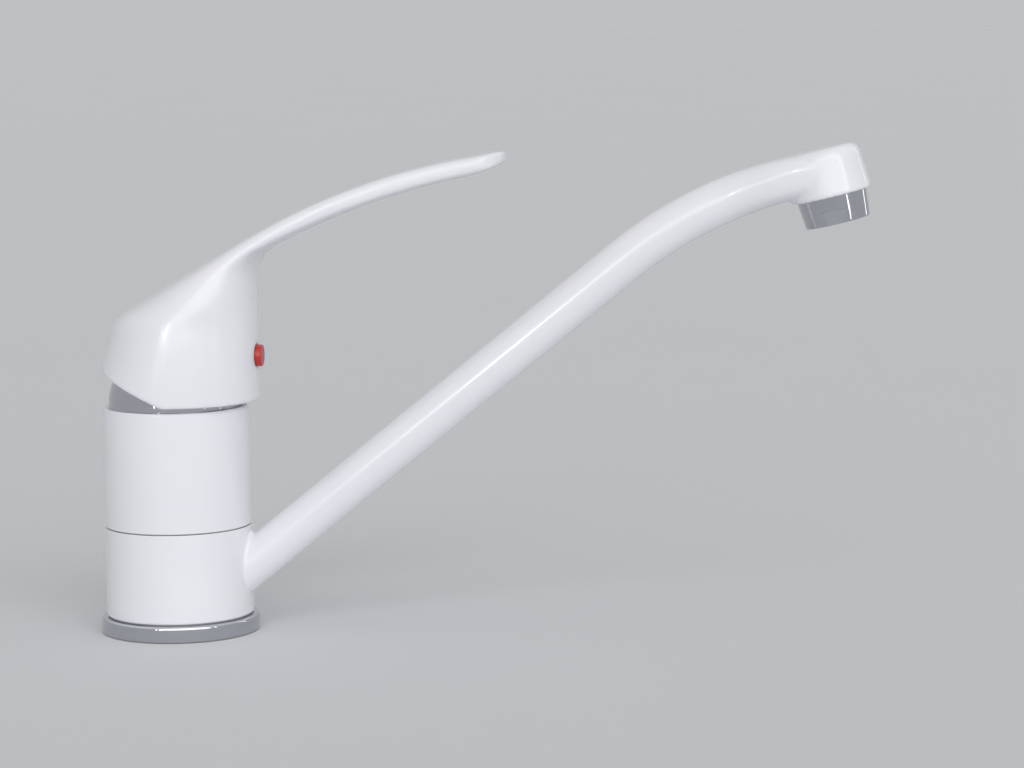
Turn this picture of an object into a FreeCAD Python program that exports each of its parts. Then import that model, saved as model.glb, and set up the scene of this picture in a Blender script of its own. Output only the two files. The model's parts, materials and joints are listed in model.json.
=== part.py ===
import FreeCAD, Part
import math
import os
import re
import Sketcher

# Single lever kitchen tap with a swivel spout, in millimetres.
# The origin is the middle of the foot where it stands on the deck. +Z is up, +X is along the spout.

doc = FreeCAD.newDocument("kitchen_tap")
sheet = doc.addObject("Spreadsheet::Sheet", "Sizes")

SIZES = [
    # Foot, swivel sleeve and drum
    ("foot_overhang", 2.0, "chrome foot ring past the drum"),
    ("foot_height", 5.6, "top of the foot ring above the deck"),
    ("foot_shoulder", 1.2, "radius of the foot ring's shoulder"),
    ("gasket_thickness", 1.0, "rubber under the foot"),
    ("gasket_inset", 1.8, "rubber under the foot inside the ring's edge"),
    ("gasket_inner", 16.5, "inner radius of the rubber under the foot"),
    ("seal_gap", 0.3, "space round a rubber piece in its seat"),
    ("foot_lift", 0.2, "foot ring's skirt above the deck, the rubber takes the load"),
    ("drum_radius", 25.0, "white drum, outside"),
    ("drum_top", 77.4, "top face of the drum above the deck"),
    ("sleeve_radius", 25.2, "white swivel sleeve, outside"),
    ("sleeve_bore", 20.6, "inside radius of the swivel sleeve"),
    ("sleeve_edge", 0.8, "rounding of the sleeve's two rims"),
    ("seam_height", 36.3, "top of the swivel sleeve above the deck"),
    ("spigot_radius", 19.6, "part of the casting inside the sleeve"),
    ("glide_thickness", 0.25, "flange of a glide ring"),
    ("running_gap", 0.05, "radial and axial clearance of a running fit"),
    ("glide_depth", 2.6, "collar height of a glide ring"),
    ("lip_seal_height", 3.0, "height of a lip seal"),
    ("lip_seal_depth", 2.4, "depth of the groove that holds a lip seal"),
    ("lip_seal_mouth", 0.6, "groove between a seal's two lips"),
    ("seal_land", 0.6, "metal between a glide ring and its lip seal"),
    ("chamber_radius", 22.4, "water chamber turned in the sleeve's bore"),
    ("chamber_land", 0.7, "bore left between a lip seal and the chamber"),
    # Under the deck
    ("inlet_radius", 4.46, "core radius of an M10 by 1 inlet"),
    ("inlet_depth", 12.0, "threaded depth of an inlet"),
    ("inlet_forward", 4.0, "inlets and inlet ports in front of the axis"),
    ("inlet_side", 7.5, "inlets and inlet ports to each side"),
    ("outlet_back", 8.5, "outlet port behind the axis"),
    ("channel_radius", 3.2, "drilled water channel"),
    ("outlet_level", 21.0, "height of the cross drilling that feeds the sleeve"),
    ("cross_radius", 2.8, "that cross drilling"),
    ("stud_back", 11.0, "fixing stud behind the axis"),
    ("stud_radius", 4.0, "M8 fixing stud"),
    ("stud_grip", 11.0, "length of the stud screwed into the casting"),
    ("stud_length", 72.0, "whole length of the fixing stud"),
    ("deck_room", 22.0, "deck thickness that the fixing holds as drawn"),
    ("clamp_radius", 24.0, "horseshoe plate under the deck"),
    ("clamp_slot", 13.0, "half width of the horseshoe's mouth"),
    ("clamp_slot_back", 4.0, "bottom of the horseshoe's mouth behind the axis"),
    ("clamp_gasket_thickness", 2.0, "rubber horseshoe"),
    ("clamp_plate_thickness", 2.5, "steel horseshoe"),
    ("clamp_nut_height", 8.0, "nut on the fixing stud"),
    ("clamp_nut_flats", 13.0, "across the nut's flats"),
    ("thread_gap", 0.05, "screw thread's radial clearance"),
    # Cartridge
    ("seat_height", 46.0, "seat of the cartridge above the deck"),
    ("cartridge_radius", 20.0, "cartridge housing, outside"),
    ("cartridge_gap", 0.15, "cartridge in its bore"),
    ("housing_inner", 17.6, "cartridge housing, inside"),
    ("housing_bottom", 50.2, "open end of the cartridge housing"),
    ("base_spigot", 1.2, "part of the cartridge base inside the housing"),
    ("housing_shoulder", 72.0, "face of the housing that the nut presses on"),
    ("housing_roof", 2.0, "thickness under that face"),
    ("neck_outer", 15.5, "neck of the cartridge, outside"),
    ("neck_inner", 13.5, "neck of the cartridge, inside"),
    ("neck_top", 84.0, "top of the cartridge's neck"),
    ("base_lift", 0.2, "cartridge base above its seat, held off by its seals"),
    ("peg_radius", 1.9, "locating pegs of the cartridge"),
    ("peg_side", 14.5, "pegs to each side of the axis"),
    ("peg_depth", 3.0, "pegs below the seat"),
    ("port_seal_width", 1.3, "section of a port seal"),
    ("port_seal_height", 1.6, "height of a port seal"),
    ("fixed_disc_thickness", 5.0, "fixed ceramic disc"),
    ("fixed_disc_gap", 0.1, "fixed disc inside the housing"),
    ("moving_disc_thickness", 4.0, "moving ceramic disc"),
    ("moving_disc_radius", 13.0, "moving ceramic disc"),
    ("mixing_pocket", 9.0, "radius of the pocket under the moving disc"),
    ("pocket_depth", 2.2, "depth of that pocket"),
    ("carrier_radius", 13.4, "carrier above the moving disc"),
    ("carrier_thickness", 4.1, "carrier's round plate"),
    ("carrier_rail", 1.8, "height of the carrier's rail"),
    ("rail_width", 18.0, "groove across the turret's underside"),
    ("rail_length", 20.0, "length of the carrier's rail"),
    ("turret_flange", 17.2, "flange radius of the turret"),
    ("turret_slot", 9.2, "slot of the turret that the spindle swings in"),
    ("turret_slot_length", 18.0, "length of that slot"),
    ("pin_radius", 2.0, "pivot pin"),
    ("pin_length", 24.0, "pivot pin"),
    ("nut_radius", 21.0, "cartridge nut's thread"),
    ("nut_bore", 15.8, "cartridge nut, inside"),
    ("nut_collar", 20.9, "collar of the nut above the drum"),
    ("nut_collar_height", 3.0, "height of that collar"),
    ("nut_hex_height", 3.6, "hexagon of the nut"),
    ("nut_flats", 34.0, "across the hexagon"),
    ("dome_ring_section", 0.8, "section radius of the ring that grips the dome"),
    ("thread_bottom", 71.0, "end of the nut's thread in the drum"),
    # Lever mechanism
    ("pivot_height", 78.0, "lever's pivot, the centre of the dome"),
    ("lift_range", 25.0, "degrees from shut to fully open"),
    ("stem_width", 8.0, "square stem"),
    ("stem_length", 26.0, "stem above the pivot"),
    ("eye_width", 9.0, "block round the pivot pin"),
    ("eye_height", 4.5, "half height of that block"),
    ("ball_drop", 13.5, "ball below the pivot"),
    ("ball_radius", 2.8, "ball end of the spindle"),
    ("ball_neck", 2.1, "spindle between block and ball"),
    ("dome_radius", 22.7, "chrome dome, outside"),
    ("dome_wall", 1.2, "chrome dome"),
    ("dome_rise", 14.0, "open top of the dome above the pivot"),
    # Handle
    ("rim_gap", 1.9, "dark gap between drum and handle"),
    ("rim_cut_ahead", 1.5, "where the handle's rim starts to slant, ahead of the axis"),
    ("rim_cut_angle", 24.5, "slant of the rim's back part"),
    ("cavity_radius", 24.3, "hollow of the handle round the dome"),
    ("bell_front", 29.0, "front wall of the bell ahead of the axis, at its rim"),
    ("bell_front_lean", 0.3, "front wall's lean, degrees"),
    ("bell_back", 28.2, "back wall behind the axis, carried down to the rim's level"),
    ("bell_back_lean", 16.4, "back wall's lean, degrees"),
    ("bell_side", 27.4, "half width of the bell at its rim"),
    ("bell_skirt", 3.5, "bell below its rim before the rim is cut"),
    ("bell_corner", 10.0, "rounding between back wall and roof"),
    ("roof_slope", 30.0, "slope of the bell's roof, degrees"),
    ("roof_wall", 11.44, "least metal between the hollow and the roof"),
    ("roof_forward", 25.0, "where the lever's curve begins, ahead of the axis"),
    ("lever_radius", 232.0, "radius of the lever's top"),
    ("lever_reach", 115.0, "lever's tip ahead of the axis"),
    ("lever_thickness", 7.0, "lever"),
    ("lever_tip_thickness", 6.2, "lever at its tip"),
    ("lever_root_side", 14.5, "half width of the lever behind its middle"),
    ("lever_tip_side", 11.5, "half width of the lever near its tip"),
    ("lever_tip_round", 13.0, "plan radius of the lever's tip"),
    ("lever_tip_sweep", 80.0, "degrees of that arc to each side of the middle"),
    ("lever_tip_edge", 1.2, "rounding of the lever's end"),
    ("lever_corner", 10.0, "hollow corner under the lever's root"),
    ("boss_radius", 8.0, "boss of the handle round the stem"),
    ("boss_start", 11.0, "lower end of the boss above the pivot"),
    ("boss_root", 1.0, "end of the boss sunk in the metal round the hollow"),
    ("cutter_start", 1.0, "how far off its work a cutter starts"),
    ("socket_gap", 0.05, "square socket round the stem"),
    ("screw_height", 22.5, "grub screw above the pivot, along the stem"),
    ("screw_radius", 2.5, "M5 grub screw"),
    ("screw_length", 8.0, "grub screw"),
    ("screw_key", 1.25, "half width of the grub screw's hexagon socket"),
    ("plug_radius", 3.7, "index plug"),
    ("plug_proud", 1.8, "index plug in front of the handle"),
    ("plug_edge", 0.5, "rounding of the plug's face"),
    ("plug_seat", 1.6, "depth of the recess that holds the plug"),
    ("plug_shank", 1.6, "shank radius of the plug, inside the screw's slanting hole"),
    ("plug_shank_length", 1.5, "shank of the plug"),
    # Spout
    ("tube_radius", 7.6, "spout tube, outside"),
    ("tube_bore", 6.2, "spout tube, inside"),
    ("tube_angle", 38.8, "rise of the straight run, degrees"),
    ("root_height", 22.5, "tube's axis at the drum's wall above the deck"),
    ("stub_length", 46.0, "tube stub cast on the sleeve, from the axis"),
    ("root_blend", 1.3, "fillet round the tube's root"),
    ("bend_radius", 142.0, "bend of the spout's axis"),
    ("outlet_reach", 223.1, "middle of the head's rim ahead of the axis"),
    ("head_angle", 13.3, "tilt of the head, degrees"),
    ("head_axis", 8.9, "tube's axis above the head's rim"),
    ("head_run", 11.1, "straight end of the tube's axis behind the middle of the head"),
    ("head_radius", 13.4, "head at its rim"),
    ("head_draft", 0.8, "head's taper over its wall"),
    ("head_edge", 0.4, "chamfer of the head's rim"),
    ("head_height", 16.0, "head from rim to top"),
    ("head_round", 3.8, "rounding of the head's top edge"),
    ("head_start", 10.5, "degrees of the bend that belong to the head"),
    ("head_swell", 12.6, "half width of the flare at the head's axis"),
    ("flare_drop", 0.1, "flare's end below the head's top"),
    ("flare_square", 1.7, "squareness that the flare gains on the tube's circle"),
    ("head_thread", 12.05, "bore of the head for the aerator"),
    ("head_thread_depth", 8.0, "depth of that bore"),
    ("aerator_radius", 12.0, "M24 thread of the aerator"),
    ("aerator_skirt", 11.6, "aerator below the head, at its top"),
    ("aerator_taper", 0.9, "how much narrower the aerator ends"),
    ("aerator_wall", 1.1, "aerator housing at its outlet"),
    ("aerator_proud", 8.9, "aerator below the head"),
    ("aerator_lip", 1.0, "inward lip at the aerator's outlet"),
    ("aerator_flat", 10.2, "half distance between the aerator's spanner flats"),
    ("aerator_flat_height", 4.5, "height of the spanner flats"),
    ("screen_thickness", 0.5, "one screen of the aerator"),
    ("screen_bar", 0.5, "width of a screen's bar"),
    ("screen_pitch", 2.0, "spacing of the bars"),
    ("core_height", 6.0, "plastic core of the aerator"),
    ("jet_radius", 0.8, "one jet of the core"),
    ("jet_ring", 6.0, "radius of the ring of jets"),
    ("strainer_radius", 8.0, "dirt strainer above the core"),
    ("strainer_wall", 0.6, "dirt strainer"),
    ("strainer_rise", 2.6, "height of the strainer"),
    ("washer_height", 1.5, "rubber washer above the aerator"),
]
NAMES = {name for name, number, note in SIZES}
for row, (name, number, note) in enumerate(SIZES, start=1):
    sheet.set("A%d" % row, name)
    sheet.set("B%d" % row, str(number))
    sheet.setAlias("B%d" % row, name)
    sheet.set("C%d" % row, note)
doc.recompute()

UP = FreeCAD.Vector(0, 0, 1)
ACROSS = FreeCAD.Vector(0, 1, 0)
HEX_SIDES = 6
OVAL_POINTS = 24
NEAR = 0.01
JETS = 12
SCREEN_STEPS = 4
FLARE_STEPS = 12
ROUND = 2.0
OVALS_PER_STATION = 3
NODES = []
PORTS = [("inlet_forward", "inlet_side"), ("inlet_forward", "-inlet_side"), ("-outlet_back", "0")]


def bound(text):
    """Point an expression's size names at the sheet."""
    return re.sub(r"[a-z_]+", lambda m: "Sizes." + m.group(0) if m.group(0) in NAMES else m.group(0), text)


def value(text):
    """Work out an expression of size names."""
    result = sheet.evalExpression(bound(text))
    return float(getattr(result, "Value", result))


def tie(item, path, text):
    """Bind one property of an object to an expression of size names."""
    item.setExpression(path, bound(text))


def new_body(name):
    body = doc.addObject("PartDesign::Body", name)
    body.Label = name
    return body


def sketch_on(body, role, name, lift=None):
    """A sketch on one of the body's own origin planes, moved along the plane's normal by lift."""
    plane = [item for item in body.Origin.OriginFeatures if item.Role == role][0]
    sketch = body.newObject("Sketcher::SketchObject", name)
    sketch.AttachmentSupport = (plane, [""])
    sketch.MapMode = "FlatFace"
    if lift is not None:
        tie(sketch, "AttachmentOffset.Base.z", lift)
    return sketch


def pin_point(sketch, edge, end, across, up):
    """Fix a sketch point at two named distances from the origin."""
    for kind, text, axis in (("DistanceX", across, -2), ("DistanceY", up, -1)):
        if text == "0":
            sketch.addConstraint(Sketcher.Constraint("PointOnObject", edge, end, axis))
        else:
            number = sketch.addConstraint(Sketcher.Constraint(kind, -1, 1, edge, end, value(text)))
            tie(sketch, "Constraints[%d]" % number, text)


def draw_arc(sketch, start, finish, radius, turn):
    """A short arc between two points, turning left or right. Returns the edge and its two ends."""
    chord = finish - start
    reach = math.sqrt(max(radius ** 2 - (chord.Length / 2) ** 2, 0))
    side = FreeCAD.Vector(-chord.y, chord.x, 0).normalize() * (reach if turn == "left" else -reach)
    centre = start + chord * 0.5 + side
    first, last = (start, finish) if turn == "left" else (finish, start)
    angles = [math.atan2(point.y - centre.y, point.x - centre.x) for point in (first, last)]
    edge = sketch.addGeometry(Part.ArcOfCircle(Part.Circle(centre, UP, radius), angles[0], angles[1]))
    return (edge, 1, 2) if turn == "left" else (edge, 2, 1)


def draw_loop(sketch, corners):
    """A closed outline. A corner is (across, up), or (across, up, radius, turn) where an arc leaves it."""
    points = [FreeCAD.Vector(value(corner[0]), value(corner[1]), 0) for corner in corners]
    edges = []
    for place, corner in enumerate(corners):
        start, finish = points[place], points[(place + 1) % len(points)]
        if len(corner) == 2:
            edges.append((sketch.addGeometry(Part.LineSegment(start, finish)), 1, 2))
        else:
            edges.append(draw_arc(sketch, start, finish, value(corner[2]), corner[3]))
    for place, corner in enumerate(corners):
        edge, first, last = edges[place]
        next_edge, next_first, next_last = edges[(place + 1) % len(edges)]
        sketch.addConstraint(Sketcher.Constraint("Coincident", edge, last, next_edge, next_first))
        pin_point(sketch, edge, first, corner[0], corner[1])
        if len(corner) > 2:
            number = sketch.addConstraint(Sketcher.Constraint("Radius", edge, value(corner[2])))
            tie(sketch, "Constraints[%d]" % number, corner[2])


def draw_circle(sketch, across, up, radius):
    centre = FreeCAD.Vector(value(across), value(up), 0)
    edge = sketch.addGeometry(Part.Circle(centre, UP, value(radius)))
    pin_point(sketch, edge, 3, across, up)
    number = sketch.addConstraint(Sketcher.Constraint("Radius", edge, value(radius)))
    tie(sketch, "Constraints[%d]" % number, radius)


def draw(sketch, shapes):
    """Circles are (across, up, radius) and outlines are lists of corners."""
    for shape in shapes:
        if isinstance(shape, tuple):
            draw_circle(sketch, *shape)
        else:
            draw_loop(sketch, shape)


def check_change(body, name, before, wanted):
    """Stop if a feature left the volume as it was."""
    doc.recompute()
    change = body.Shape.Volume - before
    if change * wanted <= 0:
        raise RuntimeError("%s of %s changed the volume by %.4f" % (name, body.Label, change))


def volume(body):
    return body.Shape.Volume if body.Tip and not body.Shape.isNull() else 0.0


def turn(body, name, corners, cut=False):
    """Revolve an outline of (radius, height) corners about the upright axis."""
    before = volume(body)
    sketch = sketch_on(body, "XZ_Plane", name + "_outline")
    draw(sketch, [corners])
    feature = body.newObject("PartDesign::Groove" if cut else "PartDesign::Revolution", name)
    feature.Profile = sketch
    feature.ReferenceAxis = (sketch, ["V_Axis"])
    feature.Angle = 360
    check_change(body, name, before, -1 if cut else 1)
    return feature


def raise_up(body, name, shapes, low, high, cut=False):
    """Pad or pocket a plan from one height up to another."""
    before = volume(body)
    sketch = sketch_on(body, "XY_Plane", name + "_plan", low)
    draw(sketch, shapes)
    feature = body.newObject("PartDesign::Pocket" if cut else "PartDesign::Pad", name)
    feature.Profile = sketch
    feature.Reversed = cut
    tie(feature, "Length", "(%s) - (%s)" % (high, low))
    check_change(body, name, before, -1 if cut else 1)
    return feature


def place(item, x="0", y="0", z="0", axis=ACROSS, angle=None):
    """Set a placement whose numbers follow the sheet."""
    item.Placement = FreeCAD.Placement(FreeCAD.Vector(), FreeCAD.Rotation(axis, 1 if angle else 0))
    for letter, text in (("x", x), ("y", y), ("z", z)):
        if text != "0":
            tie(item, "Placement.Base." + letter, text)
    if angle:
        tie(item, "Placement.Rotation.Angle", angle)


def primitive(body, name, kind, cut, sizes, **where):
    """Add or cut a box, cylinder or sphere."""
    before = volume(body)
    feature = body.newObject("PartDesign::%s%s" % ("Subtractive" if cut else "Additive", kind), name)
    for path, text in sizes.items():
        tie(feature, path, text)
    place(feature, **where)
    check_change(body, name, before, -1 if cut else 1)
    return feature


def ring(body, name, inner, outer, low, high, cut=False):
    """A plain ring, or a round slab where inner is 0."""
    corners = [(inner, low), (outer, low), (outer, high), (inner, high)]
    return turn(body, name, corners, cut)


def rectangle(x_low, x_high, y_low, y_high):
    return [(x_low, y_low), (x_high, y_low), (x_high, y_high), (x_low, y_high)]


def hexagon(flats, x="0", y="0"):
    """Six corners round a point, with two flats along the spout."""
    corners = []
    for side in range(HEX_SIDES):
        angle = 360 / HEX_SIDES * (side + 0.5)
        away = "(%s) / 2 / cos(30)" % flats
        corners.append(("%s + %s * cos(%g)" % (x, away, angle), "%s + %s * sin(%g)" % (y, away, angle)))
    return corners


def edges_where(shape, test):
    return ["Edge%d" % number for number, edge in enumerate(shape.Edges, start=1) if test(edge)]


def fillet(body, name, radius, test):
    """Round the edges of the body's last feature that pass a test."""
    doc.recompute()
    base = body.Tip
    feature = body.newObject("PartDesign::Fillet", name)
    feature.Base = (base, edges_where(base.Shape, test))
    tie(feature, "Radius", radius)
    doc.recompute()
    return feature


# Heights that several pieces share

SLEEVE_LOW = "(foot_height + glide_thickness + running_gap)"
DRUM_LOW = "(seam_height + glide_thickness + running_gap)"
GLIDE_LOW_END = "(%s + glide_depth)" % SLEEVE_LOW
LOWER_SEAL = "(%s + seal_land)" % GLIDE_LOW_END
GLIDE_HIGH_END = "(seam_height - glide_depth)"
UPPER_SEAL = "(%s - seal_land - lip_seal_height)" % GLIDE_HIGH_END
CHAMBER_LOW = "(%s + lip_seal_height + chamber_land)" % LOWER_SEAL
CHAMBER_HIGH = "(%s - chamber_land)" % UPPER_SEAL
SEAL_BOTTOM = "(spigot_radius - lip_seal_depth)"
FOOT_RADIUS = "(drum_radius + foot_overhang)"
GASKET_OUTER = "(%s - gasket_inset)" % FOOT_RADIUS


def body_casting():
    """Drum, with the spigot below it that the sleeve turns on."""
    body = new_body("body_casting")
    bore = "(cartridge_radius + cartridge_gap)"
    turn(body, "outside", [
        ("0", "gasket_thickness"), ("spigot_radius", "gasket_thickness"), ("spigot_radius", DRUM_LOW),
        ("drum_radius - sleeve_edge / 2", DRUM_LOW),
        ("drum_radius", DRUM_LOW + " + sleeve_edge / 2"),
        ("drum_radius", "drum_top - sleeve_edge"),
        ("drum_radius - sleeve_edge", "drum_top"), ("0", "drum_top")])
    ring(body, "cartridge_bore", "0", bore, "seat_height", "drum_top", cut=True)
    ring(body, "nut_thread", "0", "nut_radius + thread_gap", "thread_bottom", "drum_top", cut=True)
    for name, low in (("lower", LOWER_SEAL), ("upper", UPPER_SEAL)):
        ring(body, name + "_seal_groove", SEAL_BOTTOM, "spigot_radius + running_gap",
             low, low + " + lip_seal_height", cut=True)
    inlets = [(x, y, "inlet_radius") for x, y in PORTS[:2]]
    raise_up(body, "inlet_threads", inlets, "gasket_thickness", "gasket_thickness + inlet_depth", cut=True)
    inlet_channels = [(x, y, "channel_radius") for x, y in PORTS[:2]]
    raise_up(body, "inlet_channels", inlet_channels, "gasket_thickness", "seat_height", cut=True)
    raise_up(body, "outlet_channel", [("-outlet_back", "0", "channel_radius")],
             "outlet_level - channel_radius", "seat_height", cut=True)
    primitive(body, "cross_drilling", "Cylinder", True,
              {"Radius": "cross_radius", "Height": "spigot_radius"},
              z="outlet_level", x="-outlet_back", angle="-90")
    raise_up(body, "stud_hole", [("-stud_back", "0", "stud_radius + thread_gap")],
             "gasket_thickness", "gasket_thickness + stud_grip + running_gap", cut=True)
    pegs = [("0", sign + "peg_side", "peg_radius + thread_gap") for sign in ("", "-")]
    raise_up(body, "peg_holes", pegs, "seat_height - peg_depth - seal_gap", "seat_height", cut=True)


def base_ring():
    """Chrome foot with a rounded shoulder, seated on the rubber."""
    body = new_body("base_ring")
    turn(body, "ring", [
        ("spigot_radius + running_gap", "gasket_thickness"),
        (GASKET_OUTER + " + seal_gap", "gasket_thickness"), (GASKET_OUTER + " + seal_gap", "foot_lift"),
        (FOOT_RADIUS + " - foot_lift", "foot_lift"),
        (FOOT_RADIUS, "foot_lift * 2"),
        (FOOT_RADIUS, "foot_height - foot_shoulder", "foot_shoulder", "left"),
        (FOOT_RADIUS + " - foot_shoulder", "foot_height"), ("spigot_radius + running_gap", "foot_height")])


def foot_rubber():
    ring(new_body("base_gasket"), "ring", "gasket_inner", GASKET_OUTER, "0", "gasket_thickness")


def glide_rings():
    """Plastic rings that the sleeve turns on. The flange of the upper one is the seam that shows."""
    inner = "spigot_radius + running_gap / 2"
    outer = "sleeve_bore - running_gap"
    body = new_body("lower_glide_ring")
    low = "foot_height"
    turn(body, "ring", [
        (inner, low), ("sleeve_radius - sleeve_edge", low),
        ("sleeve_radius - sleeve_edge", low + " + glide_thickness"), (outer, low + " + glide_thickness"),
        (outer, GLIDE_LOW_END), (inner, GLIDE_LOW_END)])
    body = new_body("upper_glide_ring")
    turn(body, "ring", [
        (inner, GLIDE_HIGH_END), (outer, GLIDE_HIGH_END), (outer, "seam_height + running_gap"),
        ("drum_radius - sleeve_edge / 2", "seam_height + running_gap"),
        ("drum_radius - sleeve_edge / 2", DRUM_LOW), (inner, DRUM_LOW)])


def lip_seals():
    """Rubber rings with a groove between two lips, one below and one above the water chamber."""
    for name, low, mouth in (("lower_lip_seal", LOWER_SEAL, 1), ("upper_lip_seal", UPPER_SEAL, -1)):
        body = new_body(name)
        inner = SEAL_BOTTOM + " + running_gap"
        outer = "sleeve_bore - running_gap"
        ring(body, "ring", inner, outer, low + " + running_gap", low + " + lip_seal_height - running_gap")
        middle = "(%s + sleeve_bore) / 2" % SEAL_BOTTOM
        start = "%s + lip_seal_height / 2" % low
        groove = ("%s - lip_seal_mouth / 2" % middle, "%s + lip_seal_mouth / 2" % middle)
        if mouth > 0:
            ring(body, "mouth", groove[0], groove[1], start, low + " + lip_seal_height", cut=True)
        else:
            ring(body, "mouth", groove[0], groove[1], low, start, cut=True)


def on_tube(along):
    """A point on the axis of the straight run, by its distance from the upright axis along the run."""
    return ("(%s) * cos(tube_angle)" % along,
            "root_height + (%s) * sin(tube_angle) - drum_radius * tan(tube_angle)" % along)


def spout_sleeve():
    """Swivel sleeve with the stub that the spout tube is brazed to."""
    body = new_body("spout_sleeve")
    turn(body, "outside", [
        ("0", SLEEVE_LOW), ("sleeve_radius - sleeve_edge", SLEEVE_LOW, "sleeve_edge", "left"),
        ("sleeve_radius", SLEEVE_LOW + " + sleeve_edge"), ("sleeve_radius", "seam_height - sleeve_edge / 2"),
        ("sleeve_radius - sleeve_edge / 2", "seam_height"), ("0", "seam_height")])
    x, z = on_tube("sleeve_bore")
    primitive(body, "stub", "Cylinder", False,
              {"Radius": "tube_radius", "Height": "stub_length - sleeve_bore"},
              x=x, z=z, angle="90 - tube_angle")
    reach = value("sleeve_radius + root_blend")

    def on_junction(edge):
        box = edge.BoundBox
        round_edge = isinstance(edge.Curve, (Part.Circle, Part.Line))
        return not round_edge and box.XMax < reach and box.XMin > 0
    fillet(body, "root_fillet", "root_blend", on_junction)
    ring(body, "bore", "0", "sleeve_bore", SLEEVE_LOW, "seam_height", cut=True)
    ring(body, "water_chamber", "0", "chamber_radius", CHAMBER_LOW, CHAMBER_HIGH, cut=True)
    primitive(body, "stub_bore", "Cylinder", True,
              {"Radius": "tube_bore", "Height": "stub_length - sleeve_bore"},
              x=x, z=z, angle="90 - tube_angle")


# The axis climbs straight from the drum, bends, and ends straight in the head above the rim's middle

RUN_RISE = "(root_height - drum_radius * tan(tube_angle))"
RUN_LENGTH = "((outlet_reach - head_axis * sin(head_angle) - head_run * cos(head_angle)" \
             " - bend_radius * (sin(tube_angle) - sin(head_angle))) / cos(tube_angle))"
OUTLET_HEIGHT = "(%s + %s * sin(tube_angle) + bend_radius * (cos(head_angle) - cos(tube_angle))" \
                " + head_run * sin(head_angle) - head_axis * cos(head_angle))" % (RUN_RISE, RUN_LENGTH)
TUBE_TURN = "(tube_angle - head_angle - head_start)"


def spout_tube():
    """Bent tube from the sleeve's stub to the head, drawn upright and then leaned over."""
    body = new_body("spout_tube")
    profile = sketch_on(body, "XY_Plane", "section")
    draw(profile, [("0", "0", "tube_radius"), ("0", "0", "tube_bore")])
    spine = sketch_on(body, "XZ_Plane", "route")
    straight = "(%s - stub_length)" % RUN_LENGTH
    start, bend = FreeCAD.Vector(), FreeCAD.Vector(0, value(straight), 0)
    line = spine.addGeometry(Part.LineSegment(start, bend))
    spine.addConstraint(Sketcher.Constraint("Coincident", line, 1, -1, 1))
    pin_point(spine, line, 2, "0", straight)
    end = FreeCAD.Vector(value("bend_radius * (1 - cos(%s))" % TUBE_TURN),
                         value("%s + bend_radius * sin(%s)" % (straight, TUBE_TURN)), 0)
    arc, first, last = draw_arc(spine, bend, end, value("bend_radius"), "right")
    spine.addConstraint(Sketcher.Constraint("Tangent", line, 2, arc, first))
    number = spine.addConstraint(Sketcher.Constraint("Radius", arc, value("bend_radius")))
    tie(spine, "Constraints[%d]" % number, "bend_radius")
    height = "%s + bend_radius * sin(%s)" % (straight, TUBE_TURN)
    number = spine.addConstraint(Sketcher.Constraint("DistanceY", -1, 1, arc, last, value(height)))
    tie(spine, "Constraints[%d]" % number, height)
    pipe = body.newObject("PartDesign::AdditivePipe", "tube")
    pipe.Profile = profile
    pipe.Spine = spine
    x, z = on_tube("stub_length")
    place(body, x=x, z=z, angle="90 - tube_angle")
    doc.recompute()
    length = value("%s + bend_radius * %s / 180 * %.8f" % (straight, TUBE_TURN, math.pi))
    section = math.pi * (value("tube_radius") ** 2 - value("tube_bore") ** 2)
    print("spout tube volume / (section x length) = %.5f" % (body.Shape.Volume / (section * length)))


def oval(centre, back, half_depth, half_width, squareness):
    """A closed smooth outline: a circle or ellipse at squareness 2, squarer above that."""
    points = []
    for step in range(OVAL_POINTS):
        angle = 2 * math.pi * step / OVAL_POINTS
        depth = math.copysign(abs(math.cos(angle)) ** (2 / squareness), math.cos(angle)) * half_depth
        width = math.copysign(abs(math.sin(angle)) ** (2 / squareness), math.sin(angle)) * half_width
        points.append(centre + back * depth + ACROSS * width)
    curve = Part.BSplineCurve()
    curve.interpolate(Points=points, PeriodicFlag=True)
    return Part.Wire(curve.toShape())


def form(name, sections):
    """A smooth solid through oval sections, kept as the base of a body."""
    feature = doc.addObject("Part::Feature", name + "_form")
    feature.Shape = Part.makeLoft([oval(*section) for section in sections], True, False)
    body = new_body(name)
    body.BaseFeature = feature
    doc.recompute()
    return body


# In the head's own frame the rim's middle is the origin and the nozzle's axis is upright

BEND_END = "(-1 * head_run)"
HEAD_PLACE = {"x": "outlet_reach", "z": OUTLET_HEIGHT, "angle": "-head_angle"}


def head_sections():
    """Ovals from the tube's own circle, along the end of the bend, to the middle of the nozzle."""
    bend, tube, axis_height = value("bend_radius"), value("tube_radius"), value("head_axis")
    last_depth = value("head_height - head_axis - flare_drop")
    bend_end = value(BEND_END)
    curve = math.radians(value("head_start")) * bend
    sections = []
    for step in range(FLARE_STEPS + 1):
        share = step / FLARE_STEPS
        travel = (curve - bend_end) * share - curve
        lean = max(-travel, 0) / bend
        centre = FreeCAD.Vector(bend_end - bend * math.sin(lean) + max(travel, 0), 0,
                                axis_height - bend * (1 - math.cos(lean)))
        back = FreeCAD.Vector(-math.sin(lean), 0, math.cos(lean))
        swell = share ** 2 * (3 - 2 * share)
        width = tube + (value("head_swell") - tube) * swell
        depth = tube + (last_depth - tube) * share
        sections.append((centre, back, depth, width, ROUND + value("flare_square") * swell))
    return sections


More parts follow.
